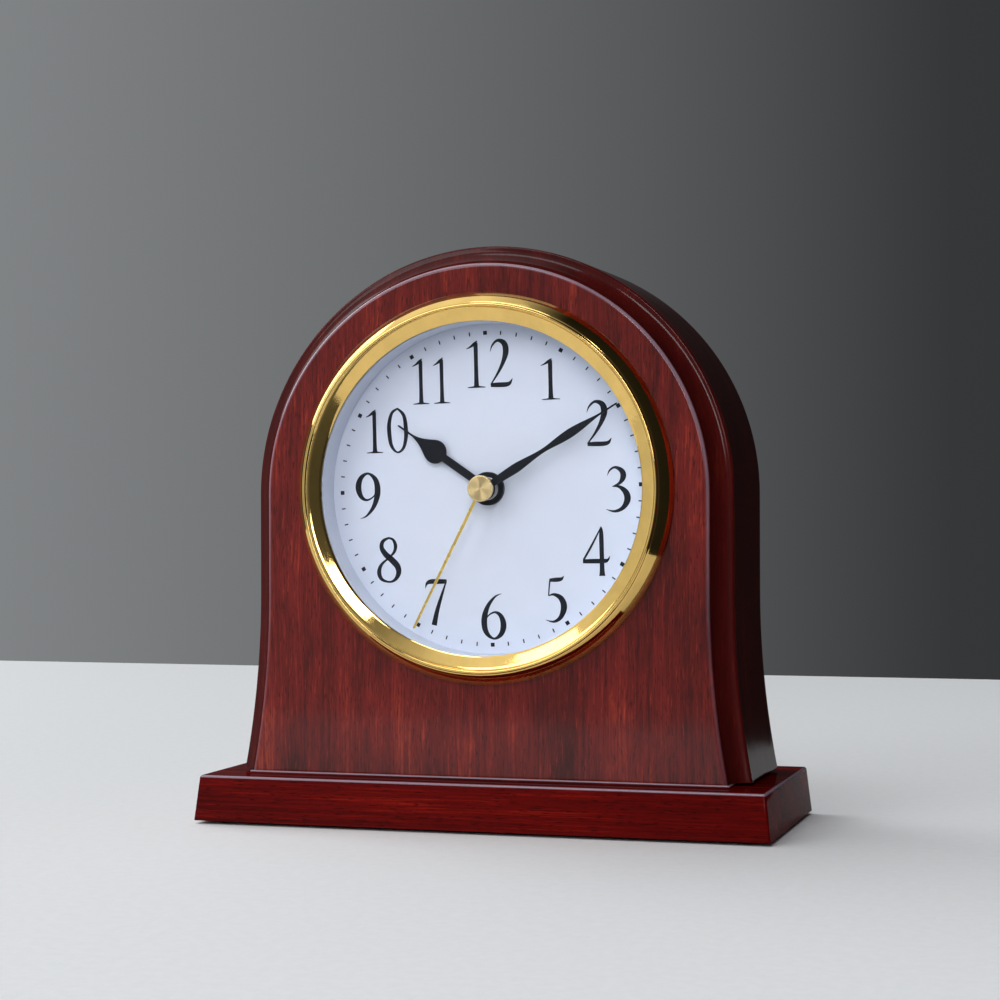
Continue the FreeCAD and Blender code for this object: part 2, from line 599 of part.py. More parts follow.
# --- hands --------------------------------------------------------------------------
def hand_plate(half_widths, angle, front, tip):
    """A flat hand whose edge runs smoothly through (distance, half width) pairs."""
    def at(distance, side):
        x, z = polar(distance, side, angle)
        return V(x, front, z)

    right = [at(d, w) for d, w in half_widths]
    left = [at(d, -w) for d, w in reversed(half_widths)]
    edges = []
    for side in (right, left):
        curve = Part.BSplineCurve()
        curve.interpolate(side)
        edges.append(curve.toShape())
    end = Part.Arc(right[-1], at(tip, 0), left[0]).toShape()
    root = Part.LineSegment(left[-1], right[0]).toShape()
    wire = Part.Wire([edges[0], end, edges[1], root])
    return Part.Face(wire).extrude(BACKWARD * HAND_THICKNESS)


def hour_hand():
    """A straight stem, a pear and a long fine point."""
    half, y = HOUR_STEM_HALF, HOUR_HAND_Y
    leaf = hand_plate(HOUR_LEAF, HOUR_ANGLE, y, HOUR_TIP)
    ball = rod(HOUR_PEAR, y, y + HAND_THICKNESS, polar(HOUR_PEAR_AT, 0, HOUR_ANGLE), 0)
    corners = [(2.5, -half), (2.5, half), (HOUR_PEAR_AT, half), (HOUR_PEAR_AT, -half)]
    stem = slab([polar(d, w, HOUR_ANGLE) for d, w in corners], y, y + HAND_THICKNESS)
    boss = rod(HOUR_BOSS, y, y + HAND_THICKNESS)
    blade = boss.fuse([stem, ball, leaf])
    return blade.cut(rod(HOUR_PIPE, y - 1, y + 1)).removeSplitter()


def minute_hand():
    """Two slim leaves on one blade, with a collet on the centre pipe."""
    y = MINUTE_HAND_Y
    back = y + HAND_THICKNESS
    blade = hand_plate(MINUTE_LEAVES, MINUTE_ANGLE, y, MINUTE_TIP)
    blade = blade.fuse([rod(MINUTE_BOSS, y, back), rod(MINUTE_COLLET, back, MINUTE_COLLET_END)])
    return blade.cut(rod(CENTRE_PIPE, y - 1, -20)).removeSplitter()


def seconds_hand():
    """A fine needle that widens a little to its end, on a short collet."""
    front, back = SECONDS_HAND_Y, SECONDS_HAND_Y + SECONDS_THICKNESS
    needle = slab([polar(d, w, SECONDS_ANGLE) for d, w in SECONDS_NEEDLE], front, back)
    collet = tube(SECONDS_ARBOR, SECONDS_COLLET, back, SECONDS_COLLET_END)
    return needle.fuse([rod(SECONDS_BOSS, front, back), collet]).removeSplitter()


def seconds_cap():
    cap = rod(CAP_RADIUS, CAP_FRONT, SECONDS_HAND_Y)
    rim = [e for e in cap.Edges if e.BoundBox.YMax < CAP_FRONT + 0.01]
    return cap.makeFillet(CAP_EDGE, rim)


# --- wheels -------------------------------------------------------------------------
def gear(teeth, module, y0, thickness, phase, at):
    """A spur wheel or pinion with one tooth centred on the angle phase."""
    pitch_radius = teeth * module / 2
    flank = PINION_LEAF if teeth <= MOST_LEAVES else WHEEL_TOOTH
    points = []
    for k in range(teeth):
        middle = radians(phase) + 2 * pi * k / teeth
        radii = [(pitch_radius + height * module, half * module) for height, half in flank]
        side = [(r, asin(half / r)) for r, half in radii]
        for r, half in side:
            points.append((at[0] + r * cos(middle - half), DIAL_Z + at[1] + r * sin(middle - half)))
        for r, half in reversed(side):
            points.append((at[0] + r * cos(middle + half), DIAL_Z + at[1] + r * sin(middle + half)))
    return slab(points, y0, y0 + thickness)


def mesh_phase(driver_teeth, driver_phase, driver_at, teeth, at):
    """The phase that puts a wheel's space opposite a tooth of the wheel that drives it."""
    towards = degrees(atan2(at[1] - driver_at[1], at[0] - driver_at[0]))
    driver_part = (towards - driver_phase) * driver_teeth / 360
    return towards + 180 - (0.5 - driver_part) * 360 / teeth


def wheel_phases():
    """The phase of every wheel that is driven. Every pinion has a tooth at angle 0."""
    return {
        "fifth": mesh_phase(ROTOR_TEETH, 0, ROTOR_AT, FIFTH_TEETH, FIFTH_AT),
        "seconds": mesh_phase(FIFTH_PINION, 0, FIFTH_AT, SECONDS_TEETH, CENTRE),
        "third": mesh_phase(SECONDS_PINION, 0, CENTRE, THIRD_TEETH, THIRD_AT),
        "centre": mesh_phase(THIRD_PINION, 0, THIRD_AT, CENTRE_TEETH, CENTRE),
        "minute": mesh_phase(CANNON_TEETH, 0, CENTRE, MINUTE_TEETH, MINUTE_AT),
        "hour": mesh_phase(MINUTE_PINION, 0, MINUTE_AT, HOUR_TEETH, CENTRE),
    }


PHASES = wheel_phases()


def rotor():
    """The stepping magnet with its pinion, between the front plate and the bridge."""
    magnet = rod(ROTOR_MAGNET, ROTOR_FRONT, ROTOR_BACK, ROTOR_AT)
    arbor = rod(PIVOT_RADIUS, PLATE_INNER - PIVOT_DEPTH, BRIDGE_BACK - PIVOT_SHORT, ROTOR_AT)
    pinion = gear(ROTOR_TEETH, SECONDS_MODULE, FIFTH_LAYER - OVERLAP, PINION, 0, ROTOR_AT)
    return magnet.fuse([arbor, pinion]).removeSplitter()


def fifth_wheel():
    """Driven by the rotor, on a post of the bridge."""
    wheel = gear(FIFTH_TEETH, SECONDS_MODULE, FIFTH_LAYER, WHEEL, PHASES["fifth"], FIFTH_AT)
    hub = rod(HUB_RADIUS, SECONDS_LAYER + PINION - OVERLAP, FIFTH_LAYER + 2 * WHEEL, FIFTH_AT)
    sleeve = rod(SLEEVE_RADIUS, SECONDS_LAYER - OVERLAP, FIFTH_LAYER, FIFTH_AT)
    pinion = gear(FIFTH_PINION, SECONDS_MODULE, SECONDS_LAYER - OVERLAP, PINION, 0, FIFTH_AT)
    whole = wheel.fuse([hub, pinion, sleeve])
    return whole.cut(rod(FIFTH_BORE, -9, 0, FIFTH_AT)).removeSplitter()


def seconds_wheel():
    """The seconds wheel, its pinion and the arbor that carries the seconds hand."""
    wheel = gear(SECONDS_TEETH, SECONDS_MODULE, SECONDS_LAYER, WHEEL, PHASES["seconds"], CENTRE)
    pinion = gear(SECONDS_PINION, THIRD_MODULE, THIRD_LAYER - OVERLAP, PINION, 0, CENTRE)
    arbor = rod(SECONDS_ARBOR, SECONDS_HAND_Y + SECONDS_THICKNESS, SECONDS_LAYER + 2 * WHEEL)
    pivot = rod(PIVOT_RADIUS, SECONDS_LAYER, BRIDGE_BACK - PIVOT_SHORT)
    hub = rod(HUB_RADIUS, THIRD_LAYER + PINION - OVERLAP, SECONDS_LAYER + 1.4)
    return wheel.fuse([pinion, arbor, pivot, hub]).removeSplitter()


def third_wheel():
    wheel = gear(THIRD_TEETH, THIRD_MODULE, THIRD_LAYER, WHEEL, PHASES["third"], THIRD_AT)
    pinion = gear(THIRD_PINION, CENTRE_MODULE, CENTRE_LAYER - OVERLAP, PINION, 0, THIRD_AT)
    arbor = rod(THIRD_ARBOR, PLATE_INNER + 0.3, THIRD_LAYER + 2.0, THIRD_AT)
    pivot = rod(PIVOT_RADIUS, PLATE_INNER - PIVOT_DEPTH, BRIDGE_BACK - PIVOT_SHORT, THIRD_AT)
    return wheel.fuse([pinion, arbor, pivot]).removeSplitter()


def centre_wheel():
    """The centre wheel, its cannon pinion and the pipe that carries the minute hand."""
    wheel = gear(CENTRE_TEETH, CENTRE_MODULE, CENTRE_LAYER, WHEEL, PHASES["centre"], CENTRE)
    cannon = gear(CANNON_TEETH, MOTION_MODULE, MOTION_LAYER - OVERLAP, PINION, 0, CENTRE)
    pipe = rod(CENTRE_PIPE, MINUTE_HAND_Y, MOTION_LAYER - OVERLAP)
    hub = rod(CANNON_HUB, MOTION_LAYER - OVERLAP, CENTRE_LAYER + WHEEL)
    whole = wheel.fuse([cannon, pipe, hub])
    return whole.cut(rod(CENTRE_BORE, -30, 0)).removeSplitter()


def minute_wheel():
    """Carries the motion from the cannon pinion to the hour wheel, on a post."""
    wheel = gear(MINUTE_TEETH, MOTION_MODULE, MOTION_LAYER, WHEEL, PHASES["minute"], MINUTE_AT)
    front = HOUR_LAYER - RUNNING_GAP
    pinion = gear(MINUTE_PINION, MOTION_MODULE, front, MOTION_LAYER - front, 0, MINUTE_AT)
    return wheel.fuse(pinion).cut(rod(POST_RADIUS + PIVOT_PLAY, -20, 0, MINUTE_AT)).removeSplitter()


def hour_wheel():
    wheel = gear(HOUR_TEETH, MOTION_MODULE, HOUR_LAYER, WHEEL, PHASES["hour"], CENTRE)
    pipe = rod(HOUR_PIPE, HOUR_HAND_Y - HOUR_PIPE_PROUD, HOUR_LAYER + WHEEL)
    return wheel.fuse(pipe).cut(rod(HOUR_BORE, -30, 0)).removeSplitter()


def setting_knob():
    """The knob at the back that sets the hands, with its shaft and pinion."""
    phase = mesh_phase(MINUTE_TEETH, PHASES["minute"], MINUTE_AT, SETTING_TEETH, SETTING_AT)
    pinion = gear(SETTING_TEETH, MOTION_MODULE, MOTION_LAYER - OVERLAP, PINION, phase, SETTING_AT)
    shaft = rod(SHAFT_RADIUS, MOTION_LAYER, KNOB_FRONT, SETTING_AT)
    pivot = rod(PIVOT_RADIUS, PLATE_INNER - PIVOT_DEPTH, MOTION_LAYER, SETTING_AT)
    knob = rod(KNOB_RADIUS, KNOB_FRONT, KNOB_BACK, SETTING_AT)
    for k in range(KNOB_FLUTES):
        at = step(SETTING_AT, FLUTE_REACH, 360 * k / KNOB_FLUTES)
        knob = knob.cut(rod(FLUTE_RADIUS, KNOB_FRONT - 1, KNOB_BACK + 1, at))
    return pinion.fuse([shaft, pivot, knob]).removeSplitter()


# --- movement -----------------------------------------------------------------------
def movement_case():
    """A box with a bushing in front, a wheel room above and a battery bay below."""
    h, wall = MOVEMENT_HALF, MOVEMENT_WALL
    z0, z1 = DIAL_Z - h, DIAL_Z + h
    shelf = DIAL_Z + BAY_TOP
    case = box(-h, h, MOVEMENT_FRONT, MOVEMENT_BACK, z0, z1)
    case = case.makeFillet(MOVEMENT_CORNER, [e for e in case.Edges if e.BoundBox.YLength > 10])
    case = case.cut(box(wall - h, h - wall, PLATE_INNER, 5, shelf + SHELF_THICKNESS, z1 - wall))
    case = case.cut(box(wall - h, h - wall, PLATE_INNER, 5, z0 + wall, shelf))
    case = case.fuse(rod(BUSHING_RADIUS, DIAL_Y - 1.1, MOVEMENT_FRONT))
    case = case.fuse(rod(POST_RADIUS, PLATE_INNER, MOTION_LAYER + WHEEL + 0.2, MINUTE_AT))
    for at in BRIDGE_POSTS:
        case = case.fuse(rod(BRIDGE_POST_RADIUS, PLATE_INNER, BRIDGE_FRONT, at))
    case = case.cut(rod(HOUR_PIPE + RUNNING_GAP, -30, PLATE_INNER + 0.1))
    for at in (ROTOR_AT, THIRD_AT, SETTING_AT):
        hole = rod(PIVOT_RADIUS + PIVOT_PLAY, PLATE_INNER - PIVOT_DEPTH - 0.1, PLATE_INNER + 0.1, at)
        case = case.cut(hole)
    return case


def movement_cover():
    h = MOVEMENT_HALF
    low = DIAL_Z + BAY_TOP + 0.5
    cover = box(-h, h, MOVEMENT_BACK, MOVEMENT_BACK + COVER_THICKNESS, low, DIAL_Z + h)
    hole = rod(SHAFT_RADIUS + 0.15, MOVEMENT_BACK - 1, MOVEMENT_BACK + 3, SETTING_AT)
    hanger = rod(HANGER_RADIUS, MOVEMENT_BACK - 1, MOVEMENT_BACK + 3, (0, HANGER_Z))
    return cover.cut(hole).cut(hanger)


def bridge_plate():
    """The plate that holds the rear pivots, on four posts of the case."""
    y0, y1 = BRIDGE_FRONT, BRIDGE_BACK
    (x0, x1), (z0, z1) = BRIDGE_X, BRIDGE_Z
    plate = box(x0, x1, y0, y1, DIAL_Z + z0, DIAL_Z + z1)
    plate = plate.makeFillet(2.0, [e for e in plate.Edges if e.BoundBox.YLength > 0.5])
    for at in (CENTRE, ROTOR_AT, THIRD_AT):
        plate = plate.cut(rod(PIVOT_RADIUS + PIVOT_PLAY, y0 - 1, y1 + 1, at))
    plate = plate.cut(rod(SHAFT_RADIUS + RUNNING_GAP, y0 - 1, y1 + 1, SETTING_AT))
    return plate.fuse(rod(FIFTH_POST, SECONDS_LAYER - 0.4, y0, FIFTH_AT))


def stator():
    """The iron plate round the rotor, with a bent leg to each end of the coil's core."""
    y0, y1 = CORE_Y - CORE_THICKNESS, CORE_Y
    plate = rod(STATOR_EYE, y0, y1, ROTOR_AT)
    for side in (-1, 1):
        end = (COIL_AT[0] + side * (COIL_HALF + STATOR_LEG_X), COIL_AT[1])
        knee = (end[0], end[1] - STATOR_KNEE_DROP)
        leg = [bar(ROTOR_AT, knee, CORE_WIDTH, y0, y1), bar(knee, end, CORE_WIDTH, y0, y1)]
        plate = plate.fuse(leg)
    return plate.cut(rod(STATOR_HOLE, y0 - 1, y1 + 1, ROTOR_AT)).removeSplitter()


def coil_core():
    x, z = COIL_AT
    reach, half = COIL_HALF + CORE_OVERHANG, CORE_WIDTH / 2
    low, high = DIAL_Z + z - half, DIAL_Z + z + half
    return box(x - reach, x + reach, CORE_Y, CORE_Y + CORE_THICKNESS, low, high)


def along_x(radius, x0, x1, y, z):
    """A round bar along X; z is measured from the hands' axis."""
    return Part.makeCylinder(radius, x1 - x0, V(x0, y, DIAL_Z + z), RIGHT)


def coil_bar(radius, x0, x1):
    """A round bar on the coil's axis; x0 and x1 are measured from its middle."""
    return along_x(radius, COIL_AT[0] + x0, COIL_AT[0] + x1, CORE_Y + CORE_THICKNESS / 2, COIL_AT[1])


def coil_bobbin():
    reach = COIL_HALF
    ends = [(-reach, FLANGE - reach), (reach - FLANGE, reach)]
    flanges = [coil_bar(FLANGE_RADIUS, x0, x1) for x0, x1 in ends]
    return coil_bar(BOBBIN_RADIUS, -reach, reach).fuse(flanges).cut(coil_core())


def coil_winding():
    reach = COIL_HALF - FLANGE
    hole = coil_bar(BOBBIN_RADIUS, -reach - 1, reach + 1)
    return coil_bar(WINDING_RADIUS, -reach, reach).cut(hole)


def circuit_board():
    x0, x1, z0, z1 = BOARD
    return box(x0, x1, PLATE_INNER, PLATE_INNER + BOARD_THICKNESS, DIAL_Z + z0, DIAL_Z + z1)


def driver_chip():
    y = PLATE_INNER + BOARD_THICKNESS
    dome = rod(CHIP_RADIUS, y, y + CHIP_HEIGHT, CHIP_AT)
    return dome.makeFillet(CHIP_EDGE, [e for e in dome.Edges if e.BoundBox.YMin > y + 1])


def quartz_crystal():
    y = PLATE_INNER + BOARD_THICKNESS + CRYSTAL_RADIUS
    x, z = CRYSTAL_AT
    return Part.makeCylinder(CRYSTAL_RADIUS, CRYSTAL_LENGTH, V(x, y, DIAL_Z + z), UP)


def contact_sheet(x0, x1):
    z = DIAL_Z + BATTERY_Z
    half = CONTACT_HALF
    return box(x0, x1, BATTERY_Y - half, BATTERY_Y + half, z - half, z + half)


def battery():
    cell = along_x(BATTERY_RADIUS, BATTERY_FOOT, BATTERY_TOP, BATTERY_Y, BATTERY_Z)
    cell = cell.makeFillet(0.5, [e for e in cell.Edges if e.BoundBox.XLength < 0.01])
    nub = along_x(BATTERY_NUB_RADIUS, BATTERY_TOP, BATTERY_TOP + BATTERY_NUB, BATTERY_Y, BATTERY_Z)
    return cell.fuse(nub)


def contact_plus():
    return contact_sheet(BATTERY_TOP + BATTERY_NUB, BAY_END)


def contact_minus():
    """The negative contact: a sheet with a volute spring that tapers in steps."""
    start = -BAY_END + CONTACT_SHEET
    pitch = (BATTERY_FOOT - start) / SPRING_TURNS
    shape = contact_sheet(-BAY_END, start)
    for k in range(SPRING_TURNS):
        x, radius = start + k * pitch, SPRING_RADIUS - SPRING_SHRINK * k
        ring = along_x(radius, x, x + pitch, BATTERY_Y, BATTERY_Z)
        shape = shape.fuse(ring.cut(along_x(radius - SPRING_STRIP, x, x + pitch, BATTERY_Y, BATTERY_Z)))
    return shape.removeSplitter()


# --- the whole clock ----------------------------------------------------------------
def insert_turned(shape):
    """The insert sits turned a little in its hole, as a friction-held insert does."""
    shape.rotate(V(0, 0, DIAL_Z), BACKWARD, INSERT_TURN)
    return shape


def nodes():
    parts = {
        "felt_pad": felt_pad(),
        "plinth": plinth(),
        "seat_plate": seat_plate(),
        "case_bolt_left": case_bolt(-BOLT_X),
        "case_bolt_right": case_bolt(BOLT_X),
        "front_panel": front_panel(),
        "case_shell": case_shell(),
        "back_panel": back_panel(),
        "rear_door": rear_door(),
        "door_knob": door_knob(),
        "catch_plate": catch_plate(),
        "magnet_block": magnet_block(),
        "hinge_screws_panel": hinge_screws(-1),
        "hinge_screws_door": hinge_screws(1),
    }
    for name, at in BACK_SCREWS.items():
        parts["back_screw_" + name] = back_screw(at)
    for name, z in HINGE_HEIGHTS.items():
        parts["hinge_" + name + "_panel_leaf"] = hinge_leaf(z, -1)
        parts["hinge_" + name + "_door_leaf"] = hinge_leaf(z, 1)
        parts["hinge_" + name + "_pin"] = hinge_pin(z)
    round_parts = [bezel, lens, lens_gasket, dial_ring, dial, dial_can]
    fixings = [grip_ring, movement_washer, fixing_nut]
    wheels = [rotor, fifth_wheel, seconds_wheel, third_wheel, centre_wheel, minute_wheel, hour_wheel]
    movement = [movement_case, movement_cover, bridge_plate, stator, coil_core, coil_bobbin, coil_winding]
    electric = [circuit_board, driver_chip, quartz_crystal, battery, contact_plus, contact_minus]
    hands = [hour_hand, minute_hand, seconds_hand, seconds_cap]
    for make in round_parts + fixings + hands:
        parts[make.__name__] = make()
    for make in wheels + movement + electric + [setting_knob]:
        parts[make.__name__] = insert_turned(make())
    return parts


def main():
    os.makedirs("parts", exist_ok=True)
    for name, shape in nodes().items():
        print(f"{name:24s} {len(shape.Solids)} solids, valid {shape.isValid()}, {shape.Volume:10.2f} mm3")
        shape.exportStep("parts/" + name + ".step")


main()
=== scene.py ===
"""Mantel clock: the visible surfaces, finishes, lights and camera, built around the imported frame."""

import math

import bmesh
import bpy
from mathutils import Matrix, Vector


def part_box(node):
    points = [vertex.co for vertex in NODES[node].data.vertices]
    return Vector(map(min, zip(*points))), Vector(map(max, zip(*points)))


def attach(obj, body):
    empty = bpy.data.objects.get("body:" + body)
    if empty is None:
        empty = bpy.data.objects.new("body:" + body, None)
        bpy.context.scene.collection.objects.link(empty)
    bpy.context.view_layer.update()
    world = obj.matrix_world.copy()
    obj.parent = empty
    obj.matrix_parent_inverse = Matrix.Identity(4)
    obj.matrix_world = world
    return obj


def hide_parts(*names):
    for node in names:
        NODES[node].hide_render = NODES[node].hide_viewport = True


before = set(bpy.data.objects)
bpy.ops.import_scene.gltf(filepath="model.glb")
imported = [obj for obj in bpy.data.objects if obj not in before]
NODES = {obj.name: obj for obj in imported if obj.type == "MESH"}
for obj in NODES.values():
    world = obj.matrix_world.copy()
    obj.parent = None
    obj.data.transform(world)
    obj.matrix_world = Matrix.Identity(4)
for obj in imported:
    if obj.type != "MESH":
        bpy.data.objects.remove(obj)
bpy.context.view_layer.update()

bl_info = {
    "name": "Mantel Clock",
    "version": (1, 0, 0),
    "blender": (4, 5, 0),
    "location": "View3D > Sidebar > Clock",
    "description": "Builds an arched wooden mantel clock with a gold bezel and its studio",
    "category": "Object",
}

MM = 0.001


def middle(node):
    low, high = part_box(node)
    return (low + high) / 2


DIAL_CENTRE = middle("dial")
CASE_LOW, CASE_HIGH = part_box("case_shell")
PANEL_LOW, PANEL_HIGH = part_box("front_panel")
PLINTH_LOW, PLINTH_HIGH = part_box("plinth")


# ---------------------------------------------------------------- settings


def length(name, description, millimetres):
    return bpy.props.FloatProperty(
        name=name, description=description, default=millimetres * MM, min=0, unit="LENGTH", precision=5
    )


def colour(name, description, value):
    return bpy.props.FloatVectorProperty(
        name=name, description=description, default=value, size=3, min=0, max=1, subtype="COLOR"
    )


def share(name, description, value):
    return bpy.props.FloatProperty(
        name=name, description=description, default=value, min=0, max=1, subtype="FACTOR"
    )


def angle(name, description, degrees):
    return bpy.props.FloatProperty(
        name=name, description=description, default=math.radians(degrees), unit="ROTATION"
    )


def power(name, description, value):
    return bpy.props.FloatProperty(name=name, description=description, default=value)


class CaseSettings(bpy.types.PropertyGroup):
    arch_radius: length("Arch radius", "Radius of the arched top", 70.8)
    arch_height: length("Arch centre height", "Height of the arch's centre above the table", 95.2)
    flare_height: length("Flare height", "Height where the sides start to spread", 66.9)
    flare_radius: length("Flare radius", "Radius of the spreading sides", 276.0)
    cove_width: length("Cove width", "Distance from the rim to the front face's edge", 6.65)
    cove_depth: length("Cove depth", "Depth of the cut from the front face to the rim", 8.0)
    front_round: length("Front round", "Radius on the front face's edge", 1.2)
    rim_round: length("Rim round", "Radius on the rim", 0.8)
    wall: length("Wall", "Thickness of the case's side", 10.0)
    rebate: length("Rebate width", "Width of the step for the rear panel", 5.0)
    rebate_depth: length("Rebate depth", "Depth of the step for the rear panel", 3.5)
    hole_radius: length("Insert hole radius", "Radius of the hole for the dial insert", 50.3)
    plinth_edge: length("Plinth edge", "Radius on the plinth's edges", 0.7)
    plinth_slope: length("Plinth slope", "How far the plinth's sides lean in", 1.5)
    seat_edge: length("Seat edge", "Radius on the seat plate's edge", 0.5)


class WoodSettings(bpy.types.PropertyGroup):
    dark: colour("Dark grain", "Darkest streaks of the stained wood", (0.054, 0.0050, 0.0044))
    stain: colour("Stain", "Main tone of the stained wood", (0.190, 0.0145, 0.0105))
    bright: colour("Bright grain", "Bright red streaks", (0.430, 0.050, 0.020))
    lacquer: share("Lacquer", "Strength of the clear coat", 0.75)
    lacquer_blur: share("Lacquer roughness", "Roughness of the clear coat", 0.09)


class BezelSettings(bpy.types.PropertyGroup):
    gold: colour("Gold", "Colour of the polished gold", (0.96, 0.64, 0.20))
    polish: share("Polish roughness", "Roughness of the polished gold", 0.045)
    brushed: colour("Brushed gold", "Colour of the seconds hand's cap", (1.0, 0.76, 0.38))


class DialSettings(bpy.types.PropertyGroup):
    white: colour("Dial white", "Colour of the dial", (0.64, 0.69, 0.80))
    ink: colour("Ink", "Colour of the numerals and marks", (0.006, 0.008, 0.013))
    turn: angle("Dial turn", "How far the insert sits turned in the case", 1.34)
    mark_radius: length("Mark radius", "Radius of the ring of minute marks", 44.6)
    square: length("Hour square", "Side of the hour squares", 1.15)
    tick_width: length("Minute tick width", "Width of a minute tick", 0.36)
    tick_length: length("Minute tick length", "Length of a minute tick", 1.15)
    ink_height: length("Ink height", "Thickness of the printed ink", 0.03)


class HandSettings(bpy.types.PropertyGroup):
    hour_angle: angle("Hour hand", "Clockwise from twelve", 304.3)
    minute_angle: angle("Minute hand", "Clockwise from twelve", 58.6)
    seconds_angle: angle("Seconds hand", "Clockwise from twelve", 206.9)
    paint: colour("Hand paint", "Colour of the hour and minute hands", (0.005, 0.0065, 0.010))
    gold: colour("Seconds gold", "Colour of the seconds hand", (1.0, 0.70, 0.18))


class StudioSettings(bpy.types.PropertyGroup):
    floor: colour("Floor", "Colour of the floor", (0.94, 0.935, 0.93))
    floor_corner: length("Floor corner", "Radius of the floor's rounded corners", 120)
    main: power("Main light", "Power of the front-left box", 3.2)
    top: power("Top light", "Power of the box overhead", 1.8)
    front: power("Front light", "Power of the high front box", 6.0)
    left: power("Left light", "Power of the box left and behind", 5.0)
    room: power("Room", "Brightness of the room", 0.8)


SETTINGS = {
    "clock_case": CaseSettings,
    "clock_wood": WoodSettings,
    "clock_bezel": BezelSettings,
    "clock_dial": DialSettings,
    "clock_hands": HandSettings,
    "clock_studio": StudioSettings,
}


# ---------------------------------------------------------------- materials


class Nodes:
    """A node tree in the making, with short ways to add nodes to it."""

    def __init__(self, tree):
        self.tree = tree

    def node(self, kind, inputs=None, **settings):
        made = self.tree.nodes.new(kind)
        for key, value in settings.items():
            setattr(made, key, value)
        for key, value in (inputs or {}).items():
            self.plug(made.inputs[key], value)
        return made

    def plug(self, socket, value):
        if isinstance(value, bpy.types.NodeSocket):
            self.tree.links.new(value, socket)
        elif socket.type == "RGBA" and len(value) == 3:
            socket.default_value = (*value, 1)
        else:
            socket.default_value = value

    def stretched(self, point, across, along, depth=None):
        """Point coordinates counted in cells of these sizes in millimetres."""
        sizes = (across, along, depth or across)
        scale = tuple(1 / (size * MM) for size in sizes)
        return self.node("ShaderNodeMapping", {"Vector": point, "Scale": scale}).outputs["Vector"]

    def noise(self, point, cell=1.0, detail=3.0, roughness=0.55, distortion=0.0):
        inputs = {"Vector": point, "Scale": 1 / cell, "Detail": detail, "Roughness": roughness}
        inputs["Distortion"] = distortion
        return self.node("ShaderNodeTexNoise", inputs).outputs["Fac"]

    def ramp(self, value, *stops):
        made = self.node("ShaderNodeValToRGB", {"Fac": value})
        elements = made.color_ramp.elements
        while len(elements) < len(stops):
            elements.new(0.5)
        for element, (place, tone) in zip(elements, stops):
            element.position = place
            element.color = (*tone, 1) if len(tone) == 3 else tone
        return made.outputs["Color"]

    def level(self, value, low, high, out_low=0.0, out_high=1.0):
        inputs = {"Value": value, "From Min": low, "From Max": high, "To Min": out_low, "To Max": out_high}
        return self.node("ShaderNodeMapRange", inputs, interpolation_type="SMOOTHSTEP").outputs["Result"]

    def mix(self, factor, first, second, blend="MIX"):
        made = self.node("ShaderNodeMix", data_type="RGBA", blend_type=blend)
        for index, value in ((0, factor), (6, first), (7, second)):
            self.plug(made.inputs[index], value)
        return made.outputs[2]

    def maths(self, operation, first, second=0.0):
        made = self.node("ShaderNodeMath", operation=operation)
        self.plug(made.inputs[0], first)
        self.plug(made.inputs[1], second)
        return made.outputs["Value"]

    def vector_maths(self, operation, first, second):
        made = self.node("ShaderNodeVectorMath", operation=operation)
        self.plug(made.inputs[0], first)
        self.plug(made.inputs[1], second)
        return made.outputs["Vector"]



class Finish(Nodes):
    """A material in the making."""

    def __init__(self, name):
        self.material = bpy.data.materials.new(name)
        self.material.use_nodes = True
        super().__init__(self.material.node_tree)
        self.shader = self.tree.nodes["Principled BSDF"]
        self.output = self.tree.nodes["Material Output"]

    def set(self, **values):
        for key, value in values.items():
            self.plug(self.shader.inputs[key.replace("_", " ")], value)

    def object_point(self):
        return self.node("ShaderNodeTexCoord").outputs["Object"]

    def grain_point(self):
        return self.node("ShaderNodeAttribute", attribute_name="grain").outputs["Vector"]

    def bump(self, height, depth, normal=None):
        """A bump of that depth in millimetres."""
        inputs = {"Height": height, "Distance": depth * MM, "Strength": 1.0}
        if normal is not None:
            inputs["Normal"] = normal
        return self.node("ShaderNodeBump", inputs).outputs["Normal"]


# The edge attribute of the wood is above 0 on eased edges, where the lacquer is thicker and a pale lilac
# painted highlight is mixed into the colour, and -1 in the cove, which gets painted shade and thinner lacquer.
# Tint and strength of the painted highlight on the eased edges.
HIGHLIGHT_TINT = (0.60, 0.48, 0.60)
HIGHLIGHT_STRENGTH = 0.5
# Strength of the painted shade in the cove, and the share of lacquer left there.
COVE_SHADE_STRENGTH = 0.75
HOLLOW_LACQUER = 0.5


